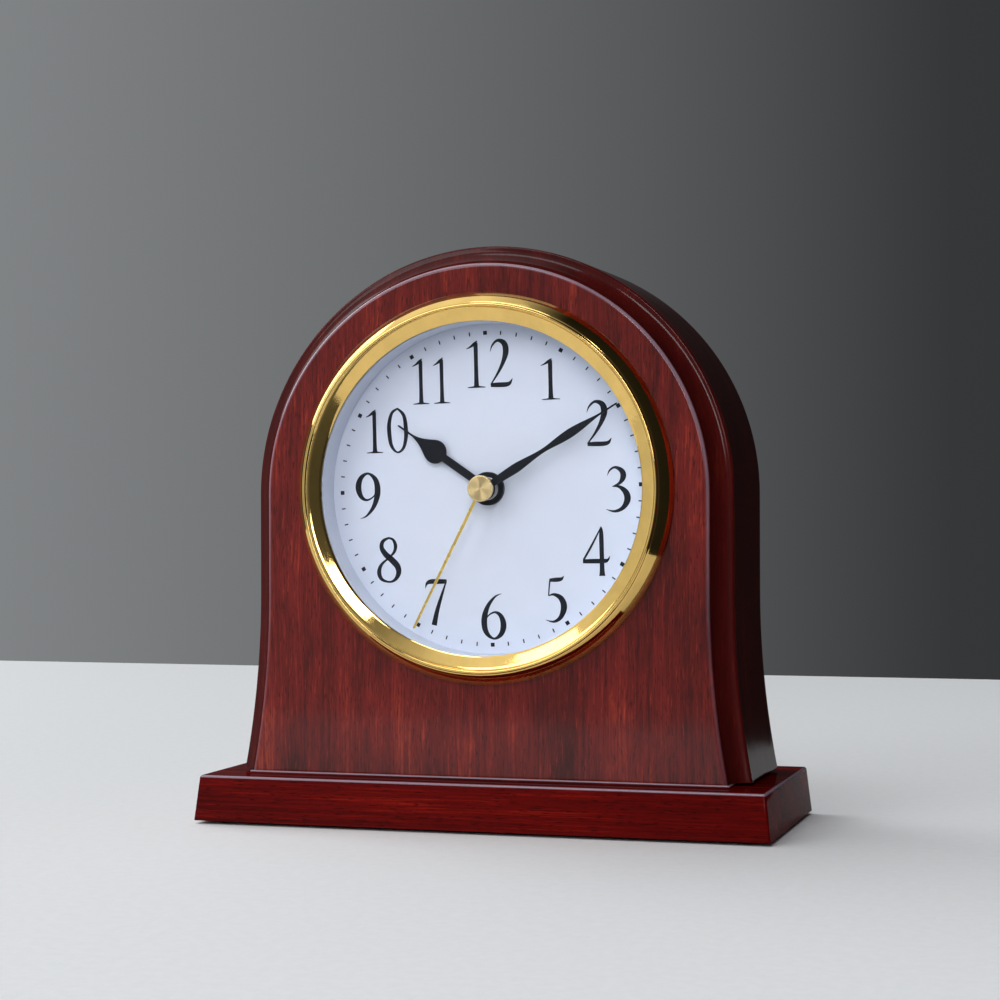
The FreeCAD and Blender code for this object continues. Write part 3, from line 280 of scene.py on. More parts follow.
def wood(name, shade=1.0, gloss=1.0, blur=1.0, run=1.0, redness=1.0):
    """Stained wood under clear lacquer, its grain along the second axis of the grain coordinates."""
    look = bpy.context.scene.clock_wood
    made = Finish(name)
    point = made.grain_point()
    wander = made.noise(made.stretched(point, 26, 80), detail=2)
    offset = made.maths("MULTIPLY", made.maths("SUBTRACT", wander, 0.5), 4 * MM)
    point = made.vector_maths("ADD", point, made.node("ShaderNodeCombineXYZ", {"X": offset}).outputs["Vector"])
    patches = made.noise(made.stretched(point, 13, 42 * run), detail=3, roughness=0.6)
    bands = made.noise(made.stretched(point, 3.2, 70 * run), detail=3)
    streaks = made.noise(made.stretched(point, 0.8, 22 * run), detail=4, roughness=0.65)
    threads = made.noise(made.stretched(point, 0.5, 7 * run), detail=3, roughness=0.6)
    fibres = made.noise(made.stretched(point, 0.3, 2.6 * run), detail=2)
    pores = made.noise(made.stretched(point, 0.32, 3.4), detail=1)
    tone = made.maths("MULTIPLY", patches, 0.32)
    for part, weight in ((bands, 0.24), (streaks, 0.22), (threads, 0.12), (fibres, 0.06)):
        tone = made.maths("ADD", tone, made.maths("MULTIPLY", part, weight))
    dye = (shade, shade / redness, shade / redness)
    tints = (look.dark, look.stain, look.bright)
    dark, stain, bright = (tuple(a * b for a, b in zip(dye, tint)) for tint in tints)
    base = made.ramp(tone, (0.38, dark), (0.47, tuple(v * 0.68 for v in stain)), (0.535, stain), (0.63, bright))
    base = made.mix(made.level(threads, 0.58, 0.76, 0.0, 0.40), base, bright)
    base = made.mix(made.level(pores, 0.58, 0.70, 0.0, 0.75), base, dark)
    edge = made.node("ShaderNodeAttribute", attribute_name="edge").outputs["Fac"]
    # Painted shade: in the cove (edge -1) the colour is pulled towards the dark grain tone.
    cove_shade = made.level(edge, -1.0, 0.0, 1.0, 0.0)
    base = made.mix(made.maths("MULTIPLY", cove_shade, COVE_SHADE_STRENGTH), base, dark)
    # Painted highlight: a pale lilac tint mixed into the colour on eased edges, the more the higher the edge
    # attribute.
    base = made.mix(made.maths("MULTIPLY", edge, HIGHLIGHT_STRENGTH), base, HIGHLIGHT_TINT)
    on_edges = made.level(edge, 0.0, 1.0, look.lacquer * gloss, 1.0)
    coat = made.maths("MULTIPLY", on_edges, made.level(cove_shade, 0.0, 1.0, 1.0, HOLLOW_LACQUER))
    relief = made.maths("SUBTRACT", threads, made.maths("MULTIPLY", made.level(pores, 0.6, 0.72), 0.8))
    ripple = made.noise(made.object_point(), 9 * MM, detail=1)
    made.set(
        Base_Color=base, Roughness=made.level(tone, 0.3, 0.7, 0.45, 0.35), Normal=made.bump(relief, 0.03),
        Specular_IOR_Level=0.0, Coat_Weight=coat, Coat_Roughness=look.lacquer_blur * blur, Coat_IOR=1.5,
        Coat_Normal=made.bump(ripple, 0.02),
    )
    return made.material


def polished(name, tint, rough, scratches=0.05):
    """Polished or plated metal with faint hairlines and slow waves in its reflections."""
    made = Finish(name)
    point = made.object_point()
    smear = made.noise(point, 6 * MM, detail=4)
    hair = made.noise(made.stretched(point, 0.35, 6, 0.35), detail=2)
    made.set(
        Base_Color=made.mix(made.level(smear, 0.3, 0.7), tint, tuple(v * 0.9 for v in tint)),
        Metallic=1.0,
        Roughness=made.level(smear, 0.3, 0.7, rough * 0.8, rough * 1.3),
        Normal=made.bump(hair, scratches * 0.05, made.bump(smear, 0.02)),
    )
    return made.material


def moulded(name, tint, rough=0.45, grain=0.35, depth=0.02, metallic=0.0):
    """Moulded plastic, rubber or dull metal with a fine texture and uneven tone."""
    made = Finish(name)
    point = made.object_point()
    cloud = made.noise(point, 5 * MM, detail=4)
    fine = made.noise(point, grain * MM, detail=2)
    low = tuple(v * 0.75 for v in tint)
    made.set(
        Base_Color=made.mix(made.level(cloud, 0.3, 0.7), low, tint),
        Metallic=metallic,
        Roughness=made.level(fine, 0.3, 0.7, rough * 0.85, min(1, rough * 1.15)),
        Normal=made.bump(fine, depth),
    )
    return made.material


def felt(name, tint):
    made = Finish(name)
    point = made.object_point()
    fibres = made.noise(made.stretched(point, 0.5, 0.18), detail=4, distortion=2.0)
    tufts = made.noise(point, 2.2 * MM, detail=3)
    base = made.mix(made.level(fibres, 0.35, 0.65), tuple(v * 0.5 for v in tint), tuple(v * 1.5 for v in tint))
    made.set(
        Base_Color=base, Roughness=0.95, Sheen_Weight=0.5, Sheen_Roughness=0.5,
        Normal=made.bump(fibres, 0.12, made.bump(tufts, 0.1)),
    )
    return made.material


def board(name, tint):
    """Dark stained fibreboard with a faint pressed texture."""
    made = Finish(name)
    point = made.object_point()
    flakes = made.noise(made.stretched(point, 3.0, 3.0, 9.0), detail=4, roughness=0.7)
    specks = made.noise(point, 0.5 * MM, detail=2)
    base = made.mix(made.level(flakes, 0.35, 0.65), tuple(v * 0.6 for v in tint), tuple(v * 1.35 for v in tint))
    made.set(
        Base_Color=base, Roughness=made.level(specks, 0.3, 0.7, 0.5, 0.7),
        Normal=made.bump(specks, 0.05, made.bump(flakes, 0.04)),
    )
    return made.material


def white_print(name, tint, rough=0.4):
    """The dial's white coat: a fine tooth and a slow unevenness."""
    made = Finish(name)
    point = made.object_point()
    cloud = made.noise(point, 14 * MM, detail=3)
    tooth = made.noise(point, 0.3 * MM, detail=2)
    made.set(
        Base_Color=made.mix(made.level(cloud, 0.3, 0.7), tint, tuple(v * 0.97 for v in tint)),
        Roughness=made.level(cloud, 0.3, 0.7, rough, rough * 1.2),
        Normal=made.bump(tooth, 0.006),
    )
    return made.material


def ink(name, tint):
    made = Finish(name)
    tooth = made.noise(made.object_point(), 0.22 * MM, detail=2)
    made.set(
        Base_Color=made.mix(made.level(tooth, 0.3, 0.75), tint, tuple(v * 1.6 for v in tint)),
        Roughness=0.45, Normal=made.bump(tooth, 0.008), Specular_IOR_Level=0.12,
    )
    return made.material


def glass(name):
    """Clear glass that lets light through to the dial."""
    made = Finish(name)
    smear = made.noise(made.object_point(), 18 * MM, detail=3)
    made.set(
        Base_Color=(1, 1, 1), Transmission_Weight=1.0, IOR=1.18,
        Roughness=made.level(smear, 0.45, 0.8, 0.0, 0.006),
    )
    rays = made.node("ShaderNodeLightPath").outputs["Is Shadow Ray"]
    clear = made.node("ShaderNodeBsdfTransparent", {"Color": (0.97, 0.98, 0.97)})
    mixed = made.node("ShaderNodeMixShader", {0: rays, 1: made.shader.outputs["BSDF"], 2: clear.outputs["BSDF"]})
    made.tree.links.new(mixed.outputs["Shader"], made.output.inputs["Surface"])
    return made.material


def spun(name, tint):
    """Gold face turned on a lathe: rings round the dial's axis."""
    made = Finish(name)
    away = made.vector_maths("SUBTRACT", made.object_point(), tuple(DIAL_CENTRE))
    parts = made.node("ShaderNodeSeparateXYZ", {"Vector": away})
    squares = [made.maths("MULTIPLY", parts.outputs[axis], parts.outputs[axis]) for axis in "XZ"]
    radius = made.maths("SQRT", made.maths("ADD", *squares))
    turn = made.maths("ARCTAN2", parts.outputs["Z"], parts.outputs["X"])
    place = {"X": made.maths("DIVIDE", radius, 0.07 * MM), "Y": made.maths("MULTIPLY", turn, 0.6)}
    rings = made.noise(made.node("ShaderNodeCombineXYZ", place).outputs["Vector"], detail=2)
    tangent = made.node("ShaderNodeTangent", direction_type="RADIAL", axis="Y").outputs["Tangent"]
    made.set(
        Base_Color=made.mix(made.level(rings, 0.3, 0.7), tuple(v * 0.75 for v in tint), tint),
        Metallic=1.0, Roughness=0.27, Anisotropic=0.9, Tangent=tangent, Normal=made.bump(rings, 0.004),
    )
    return made.material


def wound(name, tint):
    """Enamelled wire in close turns along X."""
    made = Finish(name)
    point = made.object_point()
    inputs = {"Vector": made.stretched(point, 1, 1), "Scale": 1.0, "Distortion": 0.5, "Detail": 1.0}
    turns = made.node("ShaderNodeTexWave", inputs, wave_type="BANDS", bands_direction="X").outputs["Fac"]
    cloud = made.noise(point, 2.5 * MM, detail=3)
    # Painted shade: the colour darkens to a third in the creases between the turns.
    base = made.mix(turns, tuple(v * 0.35 for v in tint), tint)
    made.set(
        Base_Color=made.mix(made.level(cloud, 0.3, 0.7, 0, 0.5), base, tuple(v * 0.6 for v in tint)),
        Metallic=0.8, Roughness=0.3, Normal=made.bump(turns, 0.05), Coat_Weight=0.5, Coat_Roughness=0.1,
    )
    return made.material


def tracked(name, tint):
    """Circuit board: solder mask over copper tracks."""
    made = Finish(name)
    inputs = {"Vector": made.stretched(made.object_point(), 2.4, 2.4), "Scale": 1.0}
    cells = made.node("ShaderNodeTexVoronoi", inputs, distance="MANHATTAN", feature="F1")
    edge = made.level(cells.outputs["Distance"], 0.42, 0.5)
    lighter = (tint[0] * 2.2, tint[1] * 1.8, tint[2] * 1.6)
    made.set(
        Base_Color=made.mix(edge, tint, lighter), Roughness=0.35, Normal=made.bump(edge, 0.03), Coat_Weight=0.4,
        Coat_Roughness=0.15,
    )
    return made.material


def sleeve(name, tint):
    """Battery sleeve: plastic film with a coloured band near the positive end."""
    made = Finish(name)
    low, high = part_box("battery")
    parts = made.node("ShaderNodeSeparateXYZ", {"Vector": made.object_point()})
    along = made.level(parts.outputs["X"], low.x, high.x)
    band = made.ramp(along, (0.0, (0.55, 0.55, 0.56)), (0.03, tint), (0.70, tint), (0.71, (0.62, 0.33, 0.08)))
    scuff = made.noise(made.stretched(made.object_point(), 4, 0.5), detail=3)
    made.set(
        Base_Color=made.mix(made.level(scuff, 0.55, 0.8, 0, 0.15), band, (0.4, 0.4, 0.4)),
        Roughness=made.level(scuff, 0.3, 0.7, 0.22, 0.34), Normal=made.bump(scuff, 0.01),
        Coat_Weight=0.3, Coat_Roughness=0.1,
    )
    return made.material


# ---------------------------------------------------------------- shapes


def spread(start, end, count):
    """count + 1 even steps from start to end."""
    return [start + (end - start) * i / count for i in range(count + 1)]


def through(a, b, c, count):
    """Points along the arc that starts at a, passes b and ends at c."""
    (ax, ay), (bx, by), (cx, cy) = a, b, c
    area = 2 * (ax * (by - cy) + bx * (cy - ay) + cx * (ay - by))
    a2, b2, c2 = ax * ax + ay * ay, bx * bx + by * by, cx * cx + cy * cy
    ox = (a2 * (by - cy) + b2 * (cy - ay) + c2 * (ay - by)) / area
    oy = (a2 * (cx - bx) + b2 * (ax - cx) + c2 * (bx - ax)) / area
    first, second, last = (math.atan2(y - oy, x - ox) for x, y in (a, b, c))
    full = 2 * math.pi
    swing = (last - first) % full
    if (second - first) % full > swing:
        swing -= full
    radius = math.hypot(ax - ox, ay - oy)
    return [(ox + radius * math.cos(first + t), oy + radius * math.sin(first + t)) for t in spread(0, swing, count)]


def bezier(poles, count):
    points = []
    for t in spread(0, 1, count):
        work = list(poles)
        while len(work) > 1:
            work = [tuple(p + (q - p) * t for p, q in zip(u, v)) for u, v in zip(work, work[1:])]
        points.append(work[0])
    return points


def smooth_path(points, steps):
    """Points with a smooth curve through all of them, any number of values each."""
    padded = [points[0], *points, points[-1]]
    path = []
    for p0, p1, p2, p3 in zip(padded, padded[1:], padded[2:], padded[3:]):
        for t in spread(0, 1, steps)[:-1]:
            path.append(tuple(
                0.5 * (2 * b + (c - a) * t + (2 * a - 5 * b + 4 * c - d) * t * t + (3 * b - a - 3 * c + d) * t ** 3)
                for a, b, c, d in zip(p0, p1, p2, p3)
            ))
    return [*path, tuple(points[-1])]


SHARP_ANGLE = 35


class Shape:
    """Points in metres and faces, gathered before they become one mesh."""

    def __init__(self):
        self.points, self.faces, self.grain, self.edge = [], [], [], []

    def loft(self, rows, ring=False, ends=False, grain=None, edge=None):
        """Joins closed rows of equally many points. ring joins the last row to the first, ends caps both."""
        start, size, count = len(self.points), len(rows[0]), len(rows)
        for row in rows:
            self.points.extend(row)
        for row in grain or []:
            self.grain.extend(row)
        for row in edge or []:
            self.edge.extend(row)
        for j in range(count if ring else count - 1):
            for i in range(size):
                a, b = start + j * size, start + (j + 1) % count * size
                k = (i + 1) % size
                self.faces.append((a + i, a + k, b + k, b + i))
        if ends:
            self.faces.append(tuple(range(start, start + size)))
            self.faces.append(tuple(range(start + (count - 1) * size, start + count * size)))

    def lathe(self, profile, centre, segments, ring=True):
        """Turns (radius, y) points in metres about the Y axis through centre."""
        rows = []
        for radius, y in profile:
            angles = spread(0, 2 * math.pi, segments)[:-1]
            rows.append([(centre.x + radius * math.sin(t), y, centre.z + radius * math.cos(t)) for t in angles])
        self.loft(rows, ring=ring, ends=not ring)

    def piece(self, name, material, body, slot, *nodes):
        mesh = bpy.data.meshes.new(name)
        mesh.from_pydata(self.points, [], self.faces)
        if self.grain:
            made = mesh.attributes.new("grain", "FLOAT_VECTOR", "POINT")
            made.data.foreach_set("vector", [v for point in self.grain for v in point])
        if self.edge:
            made = mesh.attributes.new("edge", "FLOAT", "POINT")
            made.data.foreach_set("value", self.edge)
        work = bmesh.new()
        work.from_mesh(mesh)
        bmesh.ops.recalc_face_normals(work, faces=work.faces)
        work.to_mesh(mesh)
        work.free()
        mesh.shade_smooth()
        mesh.set_sharp_from_angle(angle=math.radians(SHARP_ANGLE))
        mesh.materials.append(material)
        made = bpy.data.objects.new(name, mesh)
        bpy.context.scene.collection.objects.link(made)
        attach(made, body)
        if nodes:
            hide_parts(*nodes)
        return made


def finish_nodes(material, *names):
    """Gives carried-over parts their material."""
    for name in names:
        slots = NODES[name].data.materials
        slots.clear()
        slots.append(material)


# ---------------------------------------------------------------- wooden case


def outline(inset, bottom):
    """(x, z) points once round the case at that inset from the rim, with their length along the way."""
    case = bpy.context.scene.clock_case
    radius = case.flare_radius + inset
    centre_x = case.arch_radius + case.flare_radius
    lowest = math.asin((case.flare_height - bottom) / radius)
    right = []
    for angle in spread(lowest, 0, 30):
        right.append((centre_x - radius * math.cos(angle), case.flare_height - radius * math.sin(angle)))
    side = case.arch_radius - inset
    right += [(side, z) for z in spread(case.flare_height, case.arch_height, 12)[1:]]
    arch = []
    for angle in spread(0, math.pi / 2, 56)[1:]:
        arch.append((side * math.cos(angle), case.arch_height + side * math.sin(angle)))
    half = right + arch
    points = half + [(-x, z) for x, z in reversed(half[:-1])]
    edge = points[0][0]
    return points + [(x, bottom) for x in spread(-edge, edge, 40)[1:-1]]


def around(points):
    """Length along a closed outline at each of its points."""
    total, lengths = 0.0, [0.0]
    for (ax, az), (bx, bz) in zip(points, points[1:]):
        total += math.hypot(bx - ax, bz - az)
        lengths.append(total)
    return lengths


# Heights over which the painted highlight on the front edge fades, and its weakest share at the foot.
HIGHLIGHT_FADE_FROM, HIGHLIGHT_FADE_TO, LEAST_HIGHLIGHT = 30 * MM, 120 * MM, 0.25


def highlight_at_height(z):
    """How strong the painted highlight on the panel's eased edge is at height z: most over the arch, least at the
    foot.
    """
    return min(max((z - HIGHLIGHT_FADE_FROM) / (HIGHLIGHT_FADE_TO - HIGHLIGHT_FADE_FROM), LEAST_HIGHLIGHT), 1.0)


CURVE_PULL = 0.5523  # how far a quarter curve's handles reach, as a share of its size


def make_front_panel(material):
    case = bpy.context.scene.clock_case
    front, back, bottom = PANEL_LOW.y, PANEL_HIGH.y, PANEL_LOW.z
    face, round_, rim = case.cove_width, case.front_round, case.rim_round
    section = [(face + 2.5 * MM, 0.0), (face + 0.12 * MM, 0.0)]
    edge = [0.0, 0.0]
    for angle in spread(0, math.pi / 2, 8):
        section.append((face - round_ * math.sin(angle), round_ * (1 - math.cos(angle))))
        # Painted highlight on the front round, strongest halfway round it.
        edge.append(math.sin(2 * angle) ** 2)
    inner, reach = face - round_, case.cove_depth - rim
    flat_rows = len(section)
    section += bezier([
        (inner, round_), (inner, round_ + CURVE_PULL * (reach - round_)),
        (rim + CURVE_PULL * (inner - rim), reach), (rim, reach),
    ], 16)[1:]
    for angle in spread(0, math.pi / 2, 6)[1:]:
        section.append((rim * (1 - math.sin(angle)), case.cove_depth - rim * math.cos(angle)))
    # Painted shade over the cove and the rim round.
    edge += [-1.0] * (len(section) - flat_rows)
    section += [(0.0, back - front)]
    edge += [0.0]
    rows = [(outline(inset, bottom), front + depth) for inset, depth in section]
    hole = []
    for x, z in rows[0][0]:
        away = Vector((x - DIAL_CENTRE.x, z - DIAL_CENTRE.z)).normalized() * case.hole_radius
        hole.append((DIAL_CENTRE.x + away.x, DIAL_CENTRE.z + away.y))
    near = [
        (DIAL_CENTRE.x + (x - DIAL_CENTRE.x) * 1.01, DIAL_CENTRE.z + (z - DIAL_CENTRE.z) * 1.01)
        for x, z in hole
    ]
    rows = [(hole, front), (near, front), *rows, (hole, back)]
    edge = [0.0, 0.0, *edge, 0.0]
    shape = Shape()
    shape.loft(
        [[(x, y, z) for x, z in points] for points, y in rows], ring=True,
        grain=[[(x, z, y) for x, z in points] for points, y in rows],
        edge=[
            # The eased edge's painted highlight fades towards the foot; the cove keeps its full painted shade.
            [value * (highlight_at_height(z) if value > 0 else 1) for _, z in points] for value, (points, _) in zip(edge, rows)
        ],
    )
    shape.piece("front_panel_wood", material, "case", "lacquered_front", "front_panel")


def make_case_shell(material):
    case = bpy.context.scene.clock_case
    front, back, bottom = CASE_LOW.y, CASE_HIGH.y, CASE_LOW.z
    step = back - case.rebate_depth
    section = [(0.0, front), (0.0, back - 0.3 * MM), (0.3 * MM, back), (case.rebate, back), (case.rebate, step)]
    section += [(case.wall, step), (case.wall, front)]
    rows = [(outline(inset, bottom + inset), y, inset) for inset, y in section]
    lengths = around(rows[0][0])
    shape = Shape()
    shape.loft(
        [[(x, y, z) for x, z in points] for points, y, _ in rows], ring=True,
        grain=[[(y + 0.3, along, inset) for along in lengths] for _, y, inset in rows],
    )
    shape.piece("case_shell_wood", material, "case", "lacquered_case", "case_shell")


def slab_row(low, high, corner):
    """A rectangle with rounded corners, as (x, y) points."""
    points = []
    places = [(high[0], high[1]), (low[0], high[1]), (low[0], low[1]), (high[0], low[1])]
    for quarter, (x, y) in enumerate(places):
        sx, sy = (1 if x > 0 else -1), (1 if quarter < 2 else -1)
        for angle in spread(quarter * math.pi / 2, (quarter + 1) * math.pi / 2, 5):
            across, along = corner * math.cos(angle), corner * math.sin(angle)
            points.append((x - sx * corner + across, y - sy * corner + along))
    return points


def make_slab(name, low, high, slope, edge, material, slot, node, grain_shift):
    """A board whose sides lean in by slope, with its upper edges eased and given a painted highlight."""
    height = high.z - low.z
    levels = [(low.z, 0.0, 0.0), (low.z + 0.15 * MM, 0.0, 0.0)]
    for angle in spread(0, math.pi / 2, 6):
        z = high.z - edge + edge * math.sin(angle)
        # The third value is the painted highlight on the eased edge, strongest halfway round it.
        levels.append((z, edge * (1 - math.cos(angle)), max(0.0, math.sin(2 * angle))))
    levels.append((high.z, edge + 0.6 * MM, 0.0))
    rows, grain = [], []
    for z, tuck, _ in levels:
        lean = slope * (z - low.z) / height
        inset = (lean + tuck, lean * 2 / 3 + tuck)
        corner = max(edge - tuck * 0.6, 0.1 * MM)
        points = slab_row((low.x + inset[0], low.y + inset[1]), (high.x - inset[0], high.y - inset[1]), corner)
        rows.append([(x, y, z) for x, y in points])
        grain.append([(y + grain_shift, x, z) for x, y in points])
    shape = Shape()
    # The eased edges carry their painted highlight in the edge attribute.
    shape.loft(rows, ends=True, grain=grain, edge=[[painted_highlight] * len(rows[0]) for _, _, painted_highlight in levels])
    shape.piece(name, material, "case", slot, node)


# ---------------------------------------------------------------- dial and hands


def bezel_profile():
    """(radius, y) round the gold ring, from the wood over the crest to the glass and back."""
    foot = [(55.15, -24.1), (55.42, -24.3), (55.56, -24.65)]
    shoulder = [p for p in through((55.6, -25.0), (54.2, -27.45), (52.2, -29.5), 30) if p[0] > 52.42]
    groove = [(52.34, -29.28), (52.27, -29.33)]
    crest = [p for p in through((52.2, -29.5), (51.7, -30.0), (51.2, -29.6), 12) if p[0] > 51.22]
    valley = [(51.16, -29.36), (51.06, -29.24), (50.96, -29.26)]
    cone = [(50.9 + (47.4 - 50.9) * t, -29.25 + (-27.8 + 29.25) * t) for t in spread(0, 1, 6)]
    lip = [(47.31, -27.72), (47.32, -27.56), (47.4, -27.5)]
    seat = [(48.9, -27.5), (48.9, -21.4), (49.8, -21.4), (49.8, -24.1)]
    return [(radius * MM, y * MM) for radius, y in (*foot, *shoulder, *groove, *crest, *valley, *cone, *lip, *seat)]


def clockwise(angle, distance, side=0.0):
    """(x, z) of a point that far out along a hand at that angle, and to its right."""
    return (
        DIAL_CENTRE.x + distance * math.sin(angle) + side * math.cos(angle),
        DIAL_CENTRE.z + distance * math.cos(angle) - side * math.sin(angle),
    )


def add_blade(shape, angle, stations, front, back, bevel):
    """A hand's blade: half-widths in millimetres along its length, with eased front edges."""
    rows = []
    for distance, half in stations:
        half *= MM
        eased = min(bevel, half * 0.6)
        section = [(-half, back), (-half, front + eased), (-half + eased, front), (half - eased, front)]
        section += [(half, front + eased), (half, back)]
        row = []
        for side, y in section:
            x, z = clockwise(angle, distance * MM, side)
            row.append((x, y, z))
        rows.append(row)
    shape.loft(rows, ends=True)


def add_boss(shape, outer, inner, front, back, bevel=0.12 * MM):
    profile = [(inner, back), (outer, back), (outer, front + bevel), (outer - bevel, front)]
    profile += [(inner + bevel * 0.5, front), (inner, front + bevel * 0.5)]
    shape.lathe(profile, DIAL_CENTRE, 64)


# Half-widths of the hands along their length, in millimetres.
HOUR_STEM = [(distance, 1.15) for distance in (4.2, 8.0, 12.0, 15.2)]
HOUR_BALL_OUT, HOUR_BALL_RADIUS = 18.9, 3.4
HOUR_LEAF = [(19.6, 3.33), (20.6, 3.0), (22, 2.2), (23.5, 1.4), (25, 0.8), (26.5, 0.42), (28, 0.27),
             (32, 0.26), (32.6, 0.05)]
MINUTE_LEAF = [(2, 0.9), (6, 1.18), (10, 1.33), (12, 1.3), (15, 1.0), (18, 0.7), (20.5, 0.6), (23, 0.75),
               (26, 1.08), (29.5, 1.27), (33, 1.05), (36, 0.67), (38.5, 0.37), (40.5, 0.25), (45, 0.22),
               (45.6, 0.05)]
SECONDS_NEEDLE = [(0.6, 0.46), (6, 0.45), (20, 0.41), (38, 0.36), (44.3, 0.35), (44.6, 0.2)]
# Backs of the hands' blades along Y.
HOUR_BACK, MINUTE_BACK, SECONDS_BACK = -18.7 * MM, -21.9 * MM, -24.9 * MM
HOUR_FACE = -19.1 * MM
# Rings at the middle of the hands: outer radius, inner radius, front, back and eased edge.
HOUR_BOSS = (4.65 * MM, 3.3 * MM, -19.14 * MM, HOUR_BACK)
HOUR_SKIRT = (4.78 * MM, 4.63 * MM, -19.05 * MM, -17.45 * MM, 0.03 * MM)
HOUR_COLLAR = (3.3 * MM, 2.6 * MM, -19.2 * MM, HOUR_BACK, 0.1 * MM)
# Without their backs, and for the first without its front, which come from the frame.
MINUTE_BOSS = (3.35 * MM, 0.5 * MM)
MINUTE_COLLET = (2.4 * MM, 1.6 * MM, -21.95 * MM)
SECONDS_COLLET = (1.3 * MM, 0.5 * MM, -24.95 * MM)

# The door knob from its foot outwards: (radius, distance from the door), in millimetres.
KNOB_FOOT = [(0.1, 0.0), (1.6, 0.0), (3.1, 0.0), (3.2, 0.1), (3.2, 0.7), (3.1, 0.85), (2.3, 1.05),
             (1.7, 1.5), (1.6, 2.0), (1.6, 3.5)]
KNOB_BALL = ((1.6, 3.6), (4.0, 6.0), (1.8, 8.0))
KNOB_END = [(1.0, 8.0), (0.1, 8.0)]

# Strokes of each numeral: (across, up, half-width) along the pen's path, in heights of the numeral.
STROKES = {
    "0": [[(0.27, 0.995, 0.019), (0.12, 0.90, 0.032), (0.045, 0.68, 0.044), (0.04, 0.44, 0.048),
           (0.09, 0.16, 0.038), (0.24, 0.005, 0.019), (0.40, 0.09, 0.032), (0.475, 0.32, 0.044),
           (0.48, 0.56, 0.048), (0.43, 0.84, 0.038), (0.27, 0.995, 0.019)]],
    "1": [[(0.04, 0.825, 0.006), (0.13, 0.862, 0.018), (0.22, 0.918, 0.030), (0.30, 0.985, 0.010)],
          [(0.262, 0.015, 0.054), (0.262, 0.20, 0.045), (0.262, 0.50, 0.042), (0.262, 0.80, 0.044),
           (0.262, 0.945, 0.044)],
          [(0.05, 0.010, 0.008), (0.15, 0.016, 0.013), (0.262, 0.024, 0.022), (0.375, 0.016, 0.013),
           (0.475, 0.010, 0.008)]],
    "2": [[(0.02, 0.74, 0.003), (0.08, 0.88, 0.018), (0.21, 0.975, 0.028), (0.36, 0.91, 0.055),
           (0.40, 0.74, 0.062), (0.33, 0.52, 0.042), (0.19, 0.28, 0.024), (0.02, 0.055, 0.012)],
          [(0.02, 0.045, 0.036), (0.2, 0.045, 0.045), (0.38, 0.045, 0.043), (0.48, 0.075, 0.032),
           (0.545, 0.17, 0.003)]],
    "3": [[(0.07, 0.80, 0.003), (0.13, 0.92, 0.018), (0.25, 0.98, 0.026), (0.39, 0.90, 0.050),
           (0.42, 0.77, 0.056), (0.34, 0.63, 0.030), (0.17, 0.555, 0.004)],
          [(0.17, 0.555, 0.004), (0.33, 0.545, 0.030), (0.47, 0.42, 0.058), (0.50, 0.25, 0.062),
           (0.40, 0.08, 0.042), (0.22, 0.005, 0.026), (0.03, 0.05, 0.004)]],
    "4": [[(0.415, 0.99, 0.010), (0.22, 0.65, 0.020), (0.02, 0.335, 0.020)],
          [(0.0, 0.30, 0.036), (0.25, 0.30, 0.041), (0.47, 0.30, 0.038), (0.55, 0.325, 0.022),
           (0.59, 0.40, 0.003)],
          [(0.415, 1.0, 0.004), (0.415, 0.86, 0.040), (0.415, 0.45, 0.043), (0.415, 0.12, 0.046),
           (0.415, 0.0, 0.060)]],
    "5": [[(0.13, 0.93, 0.030), (0.27, 0.935, 0.043), (0.40, 0.95, 0.034), (0.465, 1.02, 0.003)],
          [(0.145, 0.95, 0.016), (0.12, 0.78, 0.014), (0.10, 0.585, 0.012)],
          [(0.10, 0.585, 0.008), (0.23, 0.61, 0.028), (0.39, 0.52, 0.054), (0.45, 0.33, 0.064),
           (0.37, 0.11, 0.044), (0.21, 0.01, 0.024), (0.02, 0.05, 0.003)]],
    "6": [[(0.47, 0.99, 0.003), (0.31, 0.92, 0.020), (0.14, 0.71, 0.042), (0.055, 0.43, 0.060),
           (0.09, 0.16, 0.050), (0.26, 0.01, 0.022), (0.43, 0.10, 0.046), (0.495, 0.30, 0.060),
           (0.44, 0.50, 0.044), (0.31, 0.585, 0.022), (0.16, 0.52, 0.014), (0.08, 0.40, 0.008)]],
    "7": [[(0.0, 0.80, 0.003), (0.035, 0.90, 0.026), (0.12, 0.94, 0.043), (0.30, 0.94, 0.045),
           (0.49, 0.94, 0.040)],
          [(0.485, 0.955, 0.010), (0.38, 0.68, 0.026), (0.26, 0.34, 0.042), (0.18, 0.03, 0.054)]],
    "8": [[(0.28, 0.99, 0.020), (0.15, 0.92, 0.036), (0.115, 0.78, 0.044), (0.20, 0.63, 0.056),
           (0.34, 0.50, 0.062), (0.47, 0.35, 0.060), (0.49, 0.19, 0.050), (0.40, 0.045, 0.030),
           (0.26, 0.005, 0.020), (0.10, 0.07, 0.034), (0.045, 0.22, 0.044), (0.10, 0.39, 0.030),
           (0.27, 0.54, 0.018), (0.40, 0.67, 0.028), (0.435, 0.82, 0.036), (0.38, 0.95, 0.026),
           (0.28, 0.99, 0.020)]],
    "9": [[(0.03, 0.01, 0.003), (0.19, 0.08, 0.020), (0.36, 0.29, 0.042), (0.445, 0.57, 0.060),
           (0.41, 0.84, 0.050), (0.24, 0.99, 0.022), (0.07, 0.90, 0.046), (0.005, 0.70, 0.060),
           (0.06, 0.50, 0.044), (0.19, 0.415, 0.022), (0.34, 0.48, 0.014), (0.42, 0.60, 0.008)]],
}

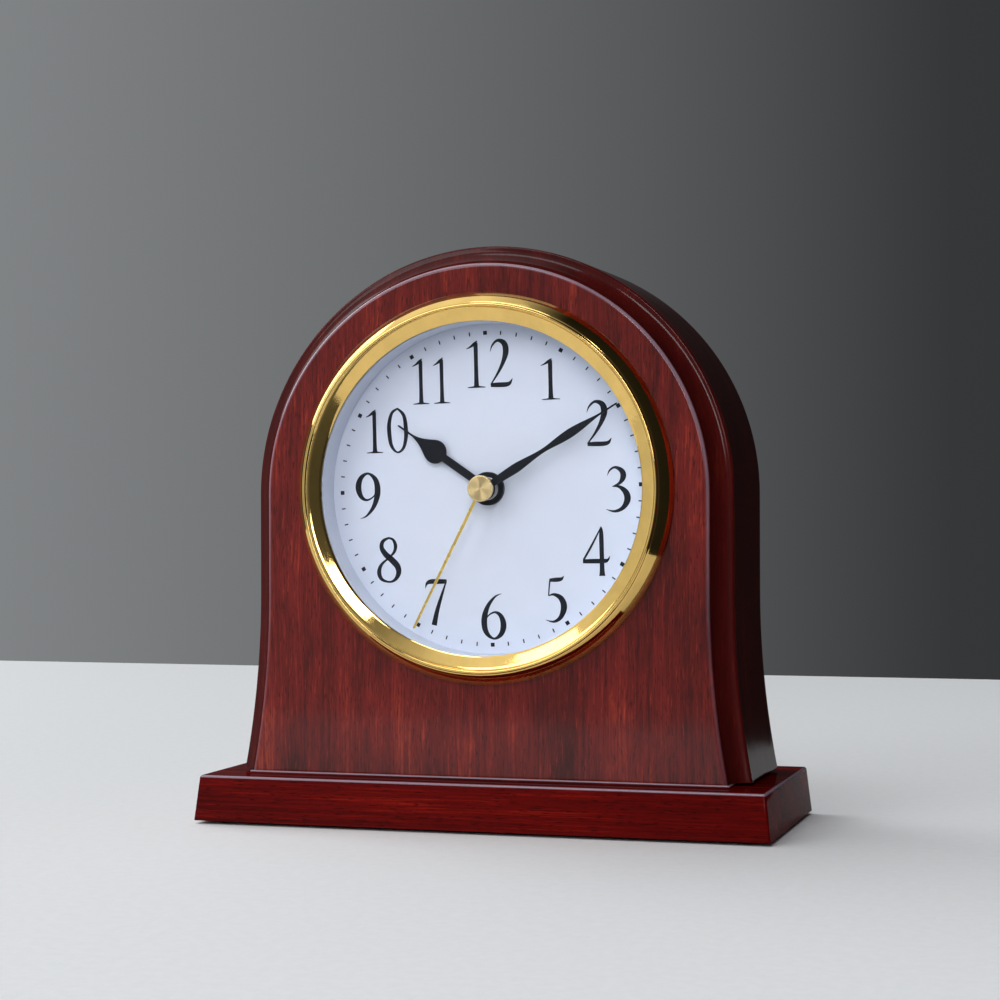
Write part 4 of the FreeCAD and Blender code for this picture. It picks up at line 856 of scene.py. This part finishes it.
# Each numeral: its digits, its centre (across, up) and its size (width, height), in millimetres.
NUMERALS = [
    ("12", (1.1, 35.8), (13.6, 13.9)), ("1", (19.0, 30.6), (5.5, 11.8)), ("2", (32.9, 17.6), (7.2, 13.1)),
    ("3", (38.0, -1.2), (7.2, 13.1)), ("4", (31.2, -18.5), (7.9, 14.0)), ("5", (19.1, -31.9), (6.4, 13.3)),
    ("6", (0.5, -36.6), (7.5, 13.2)), ("7", (-16.6, -32.3), (6.6, 13.5)), ("8", (-30.8, -19.8), (7.5, 13.3)),
    ("9", (-36.7, -1.0), (7.7, 13.5)), ("10", (-30.4, 17.6), (12.9, 13.2)), ("11", (-16.6, 31.5), (11.3, 13.3)),
]
DIGIT_GAP = 0.12
PEN_WEIGHT = 1.13
DIAL_HOLE = 4.1 * MM
DIAL_WALL_RADIUS = 47.2 * MM
# Crossing strokes of ink lie this much above each other, so that no two faces are level.
INK_LAYER = 0.006 * MM


def pen_stroke(points):
    """Left and right edges of a stroke, as pairs of (across, up)."""
    path = smooth_path(points, 7)
    closed = math.dist(path[0][:2], path[-1][:2]) < 1e-6
    pairs = []
    for i, (x, y, half) in enumerate(path):
        before = path[i - 1] if i else (path[-2] if closed else path[0])
        after = path[i + 1] if i + 1 < len(path) else (path[1] if closed else path[-1])
        dx, dy = after[0] - before[0], after[1] - before[1]
        size = math.hypot(dx, dy) or 1.0
        half = max(half * PEN_WEIGHT, 0.001)
        pairs.append(((x - dy / size * half, y + dx / size * half), (x + dy / size * half, y - dx / size * half)))
    return pairs


def numeral_strokes(digits, size):
    """The strokes of a numeral as edge pairs in metres, centred and brought to its size."""
    strokes, shift = [], 0.0
    for digit in digits:
        own = [pen_stroke(points) for points in STROKES[digit]]
        xs = [x for stroke in own for pair in stroke for x, _ in pair]
        move = shift - min(xs)
        strokes += [[tuple((x + move, y) for x, y in pair) for pair in stroke] for stroke in own]
        shift = move + max(xs) + DIGIT_GAP
    xs = [x for stroke in strokes for pair in stroke for x, _ in pair]
    ys = [y for stroke in strokes for pair in stroke for _, y in pair]
    scale = (size[0] * MM / (max(xs) - min(xs)), size[1] * MM / (max(ys) - min(ys)))
    centre = ((max(xs) + min(xs)) / 2, (max(ys) + min(ys)) / 2)
    return [
        [tuple(((x - centre[0]) * scale[0], (y - centre[1]) * scale[1]) for x, y in pair) for pair in stroke]
        for stroke in strokes
    ]


def on_dial(x, z):
    """Turns a point of the upright dial with the insert, and moves it to the dial's centre."""
    turn = bpy.context.scene.clock_dial.turn
    return (
        DIAL_CENTRE.x + x * math.cos(turn) - z * math.sin(turn),
        DIAL_CENTRE.z + x * math.sin(turn) + z * math.cos(turn),
    )


def add_ink(shape, pairs, back, height):
    """A raised ribbon of ink between pairs of edge points."""
    rows = []
    for left, right in pairs:
        (lx, lz), (rx, rz) = on_dial(*left), on_dial(*right)
        rows.append([(lx, back, lz), (lx, back - height, lz), (rx, back - height, rz), (rx, back, rz)])
    shape.loft(rows, ends=True)


# ---------------------------------------------------------------- operators


class CLOCK_OT_plinth(bpy.types.Operator):
    """Makes the plinth, the seat plate and the felt's finish"""

    bl_idname = "clock.plinth"
    bl_label = "Plinth"

    def execute(self, context):
        case = context.scene.clock_case
        make_slab(
            "plinth_board", PLINTH_LOW, PLINTH_HIGH, case.plinth_slope, case.plinth_edge,
            wood("plinth_wood", 0.68, 0.22, 0.6, 3.4, 3.4), "lacquered_plinth", "plinth", 0.0,
        )
        make_slab(
            "seat_board", *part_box("seat_plate"), 0.0, case.seat_edge,
            wood("seat_wood", 0.7, 0.9, 0.6, 2.0), "lacquered_seat", "seat_plate", 0.05,
        )
        finish_nodes(felt("pressed_felt", (0.010, 0.014, 0.012)), "felt_pad")
        steel = moulded("bolt_steel", (0.55, 0.55, 0.56), 0.3, metallic=1.0)
        finish_nodes(steel, "case_bolt_left", "case_bolt_right")
        return {"FINISHED"}


class CLOCK_OT_case(bpy.types.Operator):
    """Makes the front panel with its cove and the bent case shell"""

    bl_idname = "clock.case"
    bl_label = "Case"

    def execute(self, context):
        make_front_panel(wood("front_wood"))
        make_case_shell(wood("case_wood", 0.30, 0.5, 0.8, 1.5, 2.0))
        return {"FINISHED"}


class CLOCK_OT_back(bpy.types.Operator):
    """Gives the rear panel, door, hinges, knob, catch and screws their finishes"""

    bl_idname = "clock.back"
    bl_label = "Back"

    def execute(self, context):
        finish_nodes(board("stained_board", (0.050, 0.027, 0.020)), "back_panel", "rear_door")
        brass = polished("brass", (0.78, 0.54, 0.22), 0.2, 0.1)
        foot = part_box("door_knob")[0].y
        turned = [*KNOB_FOOT, *through(*KNOB_BALL, 24), *KNOB_END]
        knob = Shape()
        knob.lathe([(radius * MM, foot + y * MM) for radius, y in turned], middle("door_knob"), 96, ring=False)
        knob.piece("door_knob_turned", brass, "door", "brass", "door_knob")
        screw = polished("screw_brass", (0.86, 0.68, 0.38), 0.3, 0.1)
        finish_nodes(screw, "hinge_screws_panel", "hinge_screws_door")
        for place in ("lower", "upper"):
            finish_nodes(brass, *(f"hinge_{place}_{part}" for part in ("panel_leaf", "door_leaf", "pin")))
        for corner in ("low_left", "low_right", "high_left", "high_right"):
            finish_nodes(brass, f"back_screw_{corner}")
        finish_nodes(moulded("plated_steel", (0.62, 0.62, 0.63), 0.28, 0.5, 0.01, 1.0), "catch_plate")
        finish_nodes(moulded("magnet_grey", (0.05, 0.05, 0.055), 0.6, 0.2, 0.05), "magnet_block")
        return {"FINISHED"}


class CLOCK_OT_bezel(bpy.types.Operator):
    """Makes the polished gold ring and finishes the can behind it"""

    bl_idname = "clock.bezel"
    bl_label = "Bezel"

    def execute(self, context):
        look = context.scene.clock_bezel
        gold = polished("polished_gold", look.gold, look.polish)
        ring = Shape()
        ring.lathe(bezel_profile(), DIAL_CENTRE, 288)
        ring.piece("bezel_ring", gold, "case", "polished_gold", "bezel")
        finish_nodes(moulded("tin_can", (0.6, 0.6, 0.6), 0.35, 0.6, 0.01, 1.0), "dial_can")
        rubber = moulded("rubber", (0.02, 0.02, 0.02), 0.7, 0.4, 0.05)
        finish_nodes(rubber, "grip_ring", "lens_gasket", "movement_washer")
        finish_nodes(polished("nut_brass", (0.72, 0.52, 0.22), 0.25, 0.3), "fixing_nut")
        return {"FINISHED"}


class CLOCK_OT_lens(bpy.types.Operator):
    """Makes the flat glass under the bezel's lip"""

    bl_idname = "clock.lens"
    bl_label = "Lens"

    def execute(self, context):
        low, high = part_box("lens")
        radius, ease, axis = (high.x - low.x) / 2, 0.15 * MM, 0.4 * MM
        profile = [(axis, low.y), (radius * 0.5, low.y), (radius - ease, low.y), (radius, low.y + ease)]
        profile += [(radius, high.y - ease), (radius - ease, high.y), (radius * 0.5, high.y), (axis, high.y)]
        pane = Shape()
        pane.lathe(profile, DIAL_CENTRE, 192, ring=False)
        pane.piece("lens_pane", glass("lens_glass"), "case", "lens_glass", "lens")
        return {"FINISHED"}


class CLOCK_OT_dial(bpy.types.Operator):
    """Makes the white dial, the wall round it, its marks and its numerals"""

    bl_idname = "clock.dial"
    bl_label = "Dial"

    def execute(self, context):
        look = context.scene.clock_dial
        low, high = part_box("dial")
        white = white_print("dial_white", look.white)
        front, radius = low.y, (high.x - low.x) / 2
        levels = [(DIAL_HOLE, high.y), (DIAL_HOLE, front)]
        levels += [(DIAL_HOLE + (radius - DIAL_HOLE) * t, front) for t in spread(0.02, 0.98, 8)]
        plate = Shape()
        plate.lathe([*levels, (radius, front), (radius, high.y)], DIAL_CENTRE, 192)
        plate.piece("dial_plate", white, "case", "dial_white", "dial")
        low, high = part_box("dial_ring")
        inner, outer = DIAL_WALL_RADIUS, (high.x - low.x) / 2
        wall = Shape()
        wall.lathe(
            [(inner, low.y + 0.2 * MM), (inner + 0.2 * MM, low.y), (outer, low.y), (outer, high.y),
             (inner + 0.25 * MM, high.y), (inner, high.y - 0.25 * MM), (inner, (low.y + high.y) / 2)],
            DIAL_CENTRE, 192,
        )
        wall.piece("dial_wall", white_print("wall_white", look.white, 0.5), "case", "dial_white", "dial_ring")
        black = ink("dial_ink", look.ink)
        marks = Shape()
        for minute in range(60):
            angle = math.radians(6 * minute)
            half, reach = look.tick_width / 2, look.tick_length / 2
            if minute % 5 == 0:
                half = reach = look.square / 2
            corners = []
            for distance in (look.mark_radius - reach, look.mark_radius, look.mark_radius + reach):
                corners.append([
                    (distance * math.sin(angle) + side * math.cos(angle),
                     distance * math.cos(angle) - side * math.sin(angle)) for side in (-half, half)
                ])
            add_ink(marks, corners, front, look.ink_height)
        marks.piece("dial_marks", black, "case", "dial_white")
        figures = Shape()
        for digits, (x, z), size in NUMERALS:
            for layer, stroke in enumerate(numeral_strokes(digits, size)):
                placed = [tuple((px + x * MM, pz + z * MM) for px, pz in pair) for pair in stroke]
                add_ink(figures, placed, front, look.ink_height + INK_LAYER * (layer % 4))
        figures.piece("dial_numerals", black, "case", "dial_white")
        return {"FINISHED"}


class CLOCK_OT_hands(bpy.types.Operator):
    """Makes the hour, minute and seconds hands and the gold cap"""

    bl_idname = "clock.hands"
    bl_label = "Hands"

    def execute(self, context):
        look = context.scene.clock_hands
        black = ink("black_paint", look.paint)
        bend = spread(math.radians(160), math.radians(82), 14)
        radius = HOUR_BALL_RADIUS
        ball = [(HOUR_BALL_OUT + radius * math.cos(t), radius * math.sin(t)) for t in bend]
        stations = HOUR_STEM + ball + smooth_path(HOUR_LEAF, 4)
        hour = Shape()
        add_blade(hour, look.hour_angle, stations, HOUR_FACE, HOUR_BACK, 0.13 * MM)
        add_boss(hour, *HOUR_BOSS)
        hour.piece("hour_hand_blade", black, "hour_body", "black_paint", "hour_hand")
        skirt = Shape()
        add_boss(skirt, *HOUR_SKIRT)
        skirt.piece("hour_hand_skirt", black, "hour_body", "black_paint")
        nickel = polished("collar_nickel", (0.92, 0.92, 0.94), 0.35, 0.2)
        collar = Shape()
        add_boss(collar, *HOUR_COLLAR)
        collar.piece("hour_hand_collar", nickel, "hour_body", "pipe_metal")

        low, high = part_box("minute_hand")
        minute = Shape()
        add_blade(minute, look.minute_angle, smooth_path(MINUTE_LEAF, 4), low.y, MINUTE_BACK, 0.12 * MM)
        add_boss(minute, *MINUTE_BOSS, low.y - 0.04 * MM, MINUTE_BACK)
        add_boss(minute, *MINUTE_COLLET, high.y)
        minute.piece("minute_hand_blade", black, "minute_body", "black_paint", "minute_hand")

        low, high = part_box("seconds_hand")
        gold = polished("seconds_gold", look.gold, 0.25)
        sweep = Shape()
        add_blade(sweep, look.seconds_angle, SECONDS_NEEDLE, low.y, SECONDS_BACK, 0.08 * MM)
        add_boss(sweep, *SECONDS_COLLET, high.y, 0.05 * MM)
        sweep.piece("seconds_hand_needle", gold, "seconds_body", "gold_hand", "seconds_hand")

        low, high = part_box("seconds_cap")
        radius, edge, axis = (high.x - low.x) / 2, 0.35 * MM, 0.12 * MM
        profile = [(axis, high.y), (radius * 0.5, high.y), (radius, high.y)]
        for angle in spread(0, math.pi / 2, 6):
            profile.append((radius - edge * (1 - math.cos(angle)), low.y + edge - edge * math.sin(angle)))
        profile += [(radius - edge - 0.08 * MM, low.y), (radius * 0.5, low.y + 0.004 * MM)]
        profile += [(axis, low.y + 0.01 * MM)]
        brushed = spun("spun_gold", context.scene.clock_bezel.brushed)
        cap = Shape()
        cap.lathe(profile, DIAL_CENTRE, 96, ring=False)
        cap.piece("seconds_cap_face", brushed, "seconds_body", "brushed_gold", "seconds_cap")
        return {"FINISHED"}


# Finishes of the movement's moulded and plain metal parts: name, tone, settings of moulded, parts.
MOVEMENT_FINISHES = (
    ("movement_black", (0.018, 0.018, 0.02), {"rough": 0.42, "grain": 0.3}, ("movement_case", "movement_cover")),
    ("natural_nylon", (0.75, 0.74, 0.70), {"rough": 0.4},
     ("fifth_wheel", "seconds_wheel", "third_wheel", "minute_wheel")),
    ("rotor_magnet", (0.08, 0.08, 0.09), {"rough": 0.5, "metallic": 0.6}, ("rotor",)),
    ("core_iron", (0.45, 0.45, 0.46), {"rough": 0.35, "metallic": 1.0}, ("stator", "coil_core", "bridge_plate")),
    ("bobbin_cream", (0.62, 0.55, 0.42), {"rough": 0.5}, ("coil_bobbin",)),
    ("chip_epoxy", (0.015, 0.015, 0.016), {"rough": 0.5}, ("driver_chip",)),
    ("crystal_can", (0.68, 0.68, 0.66), {"rough": 0.2, "metallic": 1.0}, ("quartz_crystal",)),
    ("spring_nickel", (0.66, 0.64, 0.60), {"rough": 0.25, "metallic": 1.0}, ("contact_plus", "contact_minus")),
    ("knob_black", (0.02, 0.02, 0.02), {"rough": 0.5}, ("setting_knob",)),
)


class CLOCK_OT_movement(bpy.types.Operator):
    """Gives every part of the quartz movement its finish"""

    bl_idname = "clock.movement"
    bl_label = "Movement"

    def execute(self, context):
        for name, tint, settings, parts in MOVEMENT_FINISHES:
            finish_nodes(moulded(name, tint, **settings), *parts)
        finish_nodes(polished("pipe_nickel", (0.90, 0.90, 0.90), 0.45, 0.2), "hour_wheel", "centre_wheel")
        finish_nodes(wound("winding", (0.62, 0.24, 0.08)), "coil_winding")
        finish_nodes(tracked("circuit_green", (0.01, 0.10, 0.035)), "circuit_board")
        finish_nodes(sleeve("battery_sleeve", (0.02, 0.03, 0.07)), "battery")
        return {"FINISHED"}


# The soft boxes: name, place, size, tint, and the setting that holds the power.
LIGHTS = (
    ("main_box", (-0.75, -1.25, 0.80), (0.7, 0.5), (0.93, 0.96, 1.0), "main"),
    ("top_box", (-0.15, -0.70, 1.20), (0.5, 0.3), (0.95, 0.97, 1.0), "top"),
    ("front_box", (0.36, -1.50, 0.72), (0.24, 1.0), (0.96, 0.94, 1.0), "front"),
    ("left_box", (-1.10, 0.35, 0.75), (0.9, 0.7), (0.94, 0.97, 1.0), "left"),
)
LIGHT_TARGET = (0.0, 0.0, 0.08)


class CLOCK_OT_stage(bpy.types.Operator):
    """Makes the floor, the lights, the room and the camera"""

    bl_idname = "clock.stage"
    bl_label = "Stage"

    def execute(self, context):
        scene = context.scene
        look = scene.clock_studio
        add_floor(look)
        for name, place, size, tint, setting in LIGHTS:
            add_light(scene, name, place, LIGHT_TARGET, size, getattr(look, setting), tint)
        add_room(scene, look.room)
        add_camera(scene)
        scene.view_settings.view_transform = "Standard"
        return {"FINISHED"}


# Near left and far right corners of the floor.
FLOOR_EDGES = ((-0.62, -0.34), (0.21, 0.58))


def add_floor(look):
    low, high = FLOOR_EDGES
    shape = Shape()
    shape.points = [(x, y, 0.0) for x, y in slab_row(low, high, look.floor_corner)]
    shape.faces = [tuple(range(len(shape.points)))]
    mesh = bpy.data.meshes.new("floor")
    mesh.from_pydata(shape.points, [], shape.faces)
    made = Finish("floor_paper")
    tooth = made.noise(made.object_point(), 3 * MM, detail=4)
    tint = tuple(look.floor)
    made.set(
        Base_Color=made.mix(made.level(tooth, 0.3, 0.7), tint, tuple(v * 0.97 for v in tint)),
        Roughness=0.75, Normal=made.bump(tooth, 0.05), Specular_IOR_Level=0.2,
    )
    mesh.materials.append(made.material)
    floor = bpy.data.objects.new("floor", mesh)
    bpy.context.scene.collection.objects.link(floor)


def add_light(scene, name, place, target, size, power, tint):
    light = bpy.data.lights.new(name, "AREA")
    light.shape = "RECTANGLE"
    light.size, light.size_y = size
    light.energy = power
    light.color = tint
    made = bpy.data.objects.new(name, light)
    made.location = place
    made.rotation_euler = (Vector(target) - Vector(place)).to_track_quat("-Z", "Y").to_euler()
    scene.collection.objects.link(made)


# Brightness of the room by direction: degrees from +X towards +Y, and how bright.
ROOM_STOPS = [
    (-180, 0.26), (-160, 0.75), (-136, 0.90), (-107, 0.50), (-85, 0.20), (-61, 0.05), (-20, 0.02), (70, 0.012),
    (96, 0.05), (110, 0.20), (126, 0.36), (146, 0.16), (164, 0.06), (180, 0.26),
]
ROOM_TINT = (0.93, 0.97, 1.0)
SKY = 1.25  # brightness of the bright patch high on the left
SKY_RISE = (0.25, 0.70)
SKY_LEFT = (0.25, -0.35)


def room_tone(value):
    return tuple(value * part for part in ROOM_TINT)


def add_room(scene, strength):
    world = bpy.data.worlds.new("room")
    scene.world = world
    world.use_nodes = True
    made = Nodes(world.node_tree)
    direction = made.node("ShaderNodeTexCoord").outputs["Generated"]
    parts = made.node("ShaderNodeSeparateXYZ", {"Vector": direction}).outputs
    turn = made.maths("ARCTAN2", parts["Y"], parts["X"])
    along = made.node("ShaderNodeMapRange", {"Value": turn, "From Min": -math.pi, "From Max": math.pi})
    walls = [((degrees + 180) / 360, room_tone(value)) for degrees, value in ROOM_STOPS]
    lit = made.maths("MULTIPLY", made.level(parts["Z"], *SKY_RISE), made.level(parts["X"], *SKY_LEFT))
    tone = made.mix(lit, made.ramp(along.outputs["Result"], *walls), room_tone(SKY))
    background = made.tree.nodes["Background"]
    made.plug(background.inputs["Color"], tone)
    background.inputs["Strength"].default_value = strength


LENS, SENSOR = 82.7, 36.0
CAMERA_PLACE = (0.19275, -0.6453, 0.09175)
CAMERA_TURN = (90.136, 0.143, 16.79)


def add_camera(scene):
    data = bpy.data.cameras.new("camera")
    data.lens = LENS
    data.sensor_width = SENSOR
    camera = bpy.data.objects.new("camera", data)
    camera.location = CAMERA_PLACE
    camera.rotation_euler = [math.radians(degrees) for degrees in CAMERA_TURN]
    scene.collection.objects.link(camera)
    scene.camera = camera


OPERATORS = (
    CLOCK_OT_stage, CLOCK_OT_plinth, CLOCK_OT_case, CLOCK_OT_back, CLOCK_OT_bezel, CLOCK_OT_dial, CLOCK_OT_lens,
    CLOCK_OT_hands, CLOCK_OT_movement,
)


class CLOCK_PT_parts(bpy.types.Panel):
    """The clock's pieces and settings"""

    bl_label = "Mantel Clock"
    bl_idname = "CLOCK_PT_parts"
    bl_space_type = "VIEW_3D"
    bl_region_type = "UI"
    bl_category = "Clock"

    def draw(self, context):
        for operator in OPERATORS:
            self.layout.operator(operator.bl_idname)
        for name, group in SETTINGS.items():
            box = self.layout.box()
            for field in group.__annotations__:
                box.prop(getattr(context.scene, name), field)


def register():
    for group in (*SETTINGS.values(), *OPERATORS, CLOCK_PT_parts):
        bpy.utils.register_class(group)
    for name, group in SETTINGS.items():
        setattr(bpy.types.Scene, name, bpy.props.PointerProperty(type=group))


def unregister():
    for name in SETTINGS:
        delattr(bpy.types.Scene, name)
    for group in reversed((*SETTINGS.values(), *OPERATORS, CLOCK_PT_parts)):
        bpy.utils.unregister_class(group)


def main():
    register()
    for operator in OPERATORS:
        group, action = operator.bl_idname.split(".")
        getattr(getattr(bpy.ops, group), action)()
    bpy.context.view_layer.update()


if __name__ == "__main__":
    main()
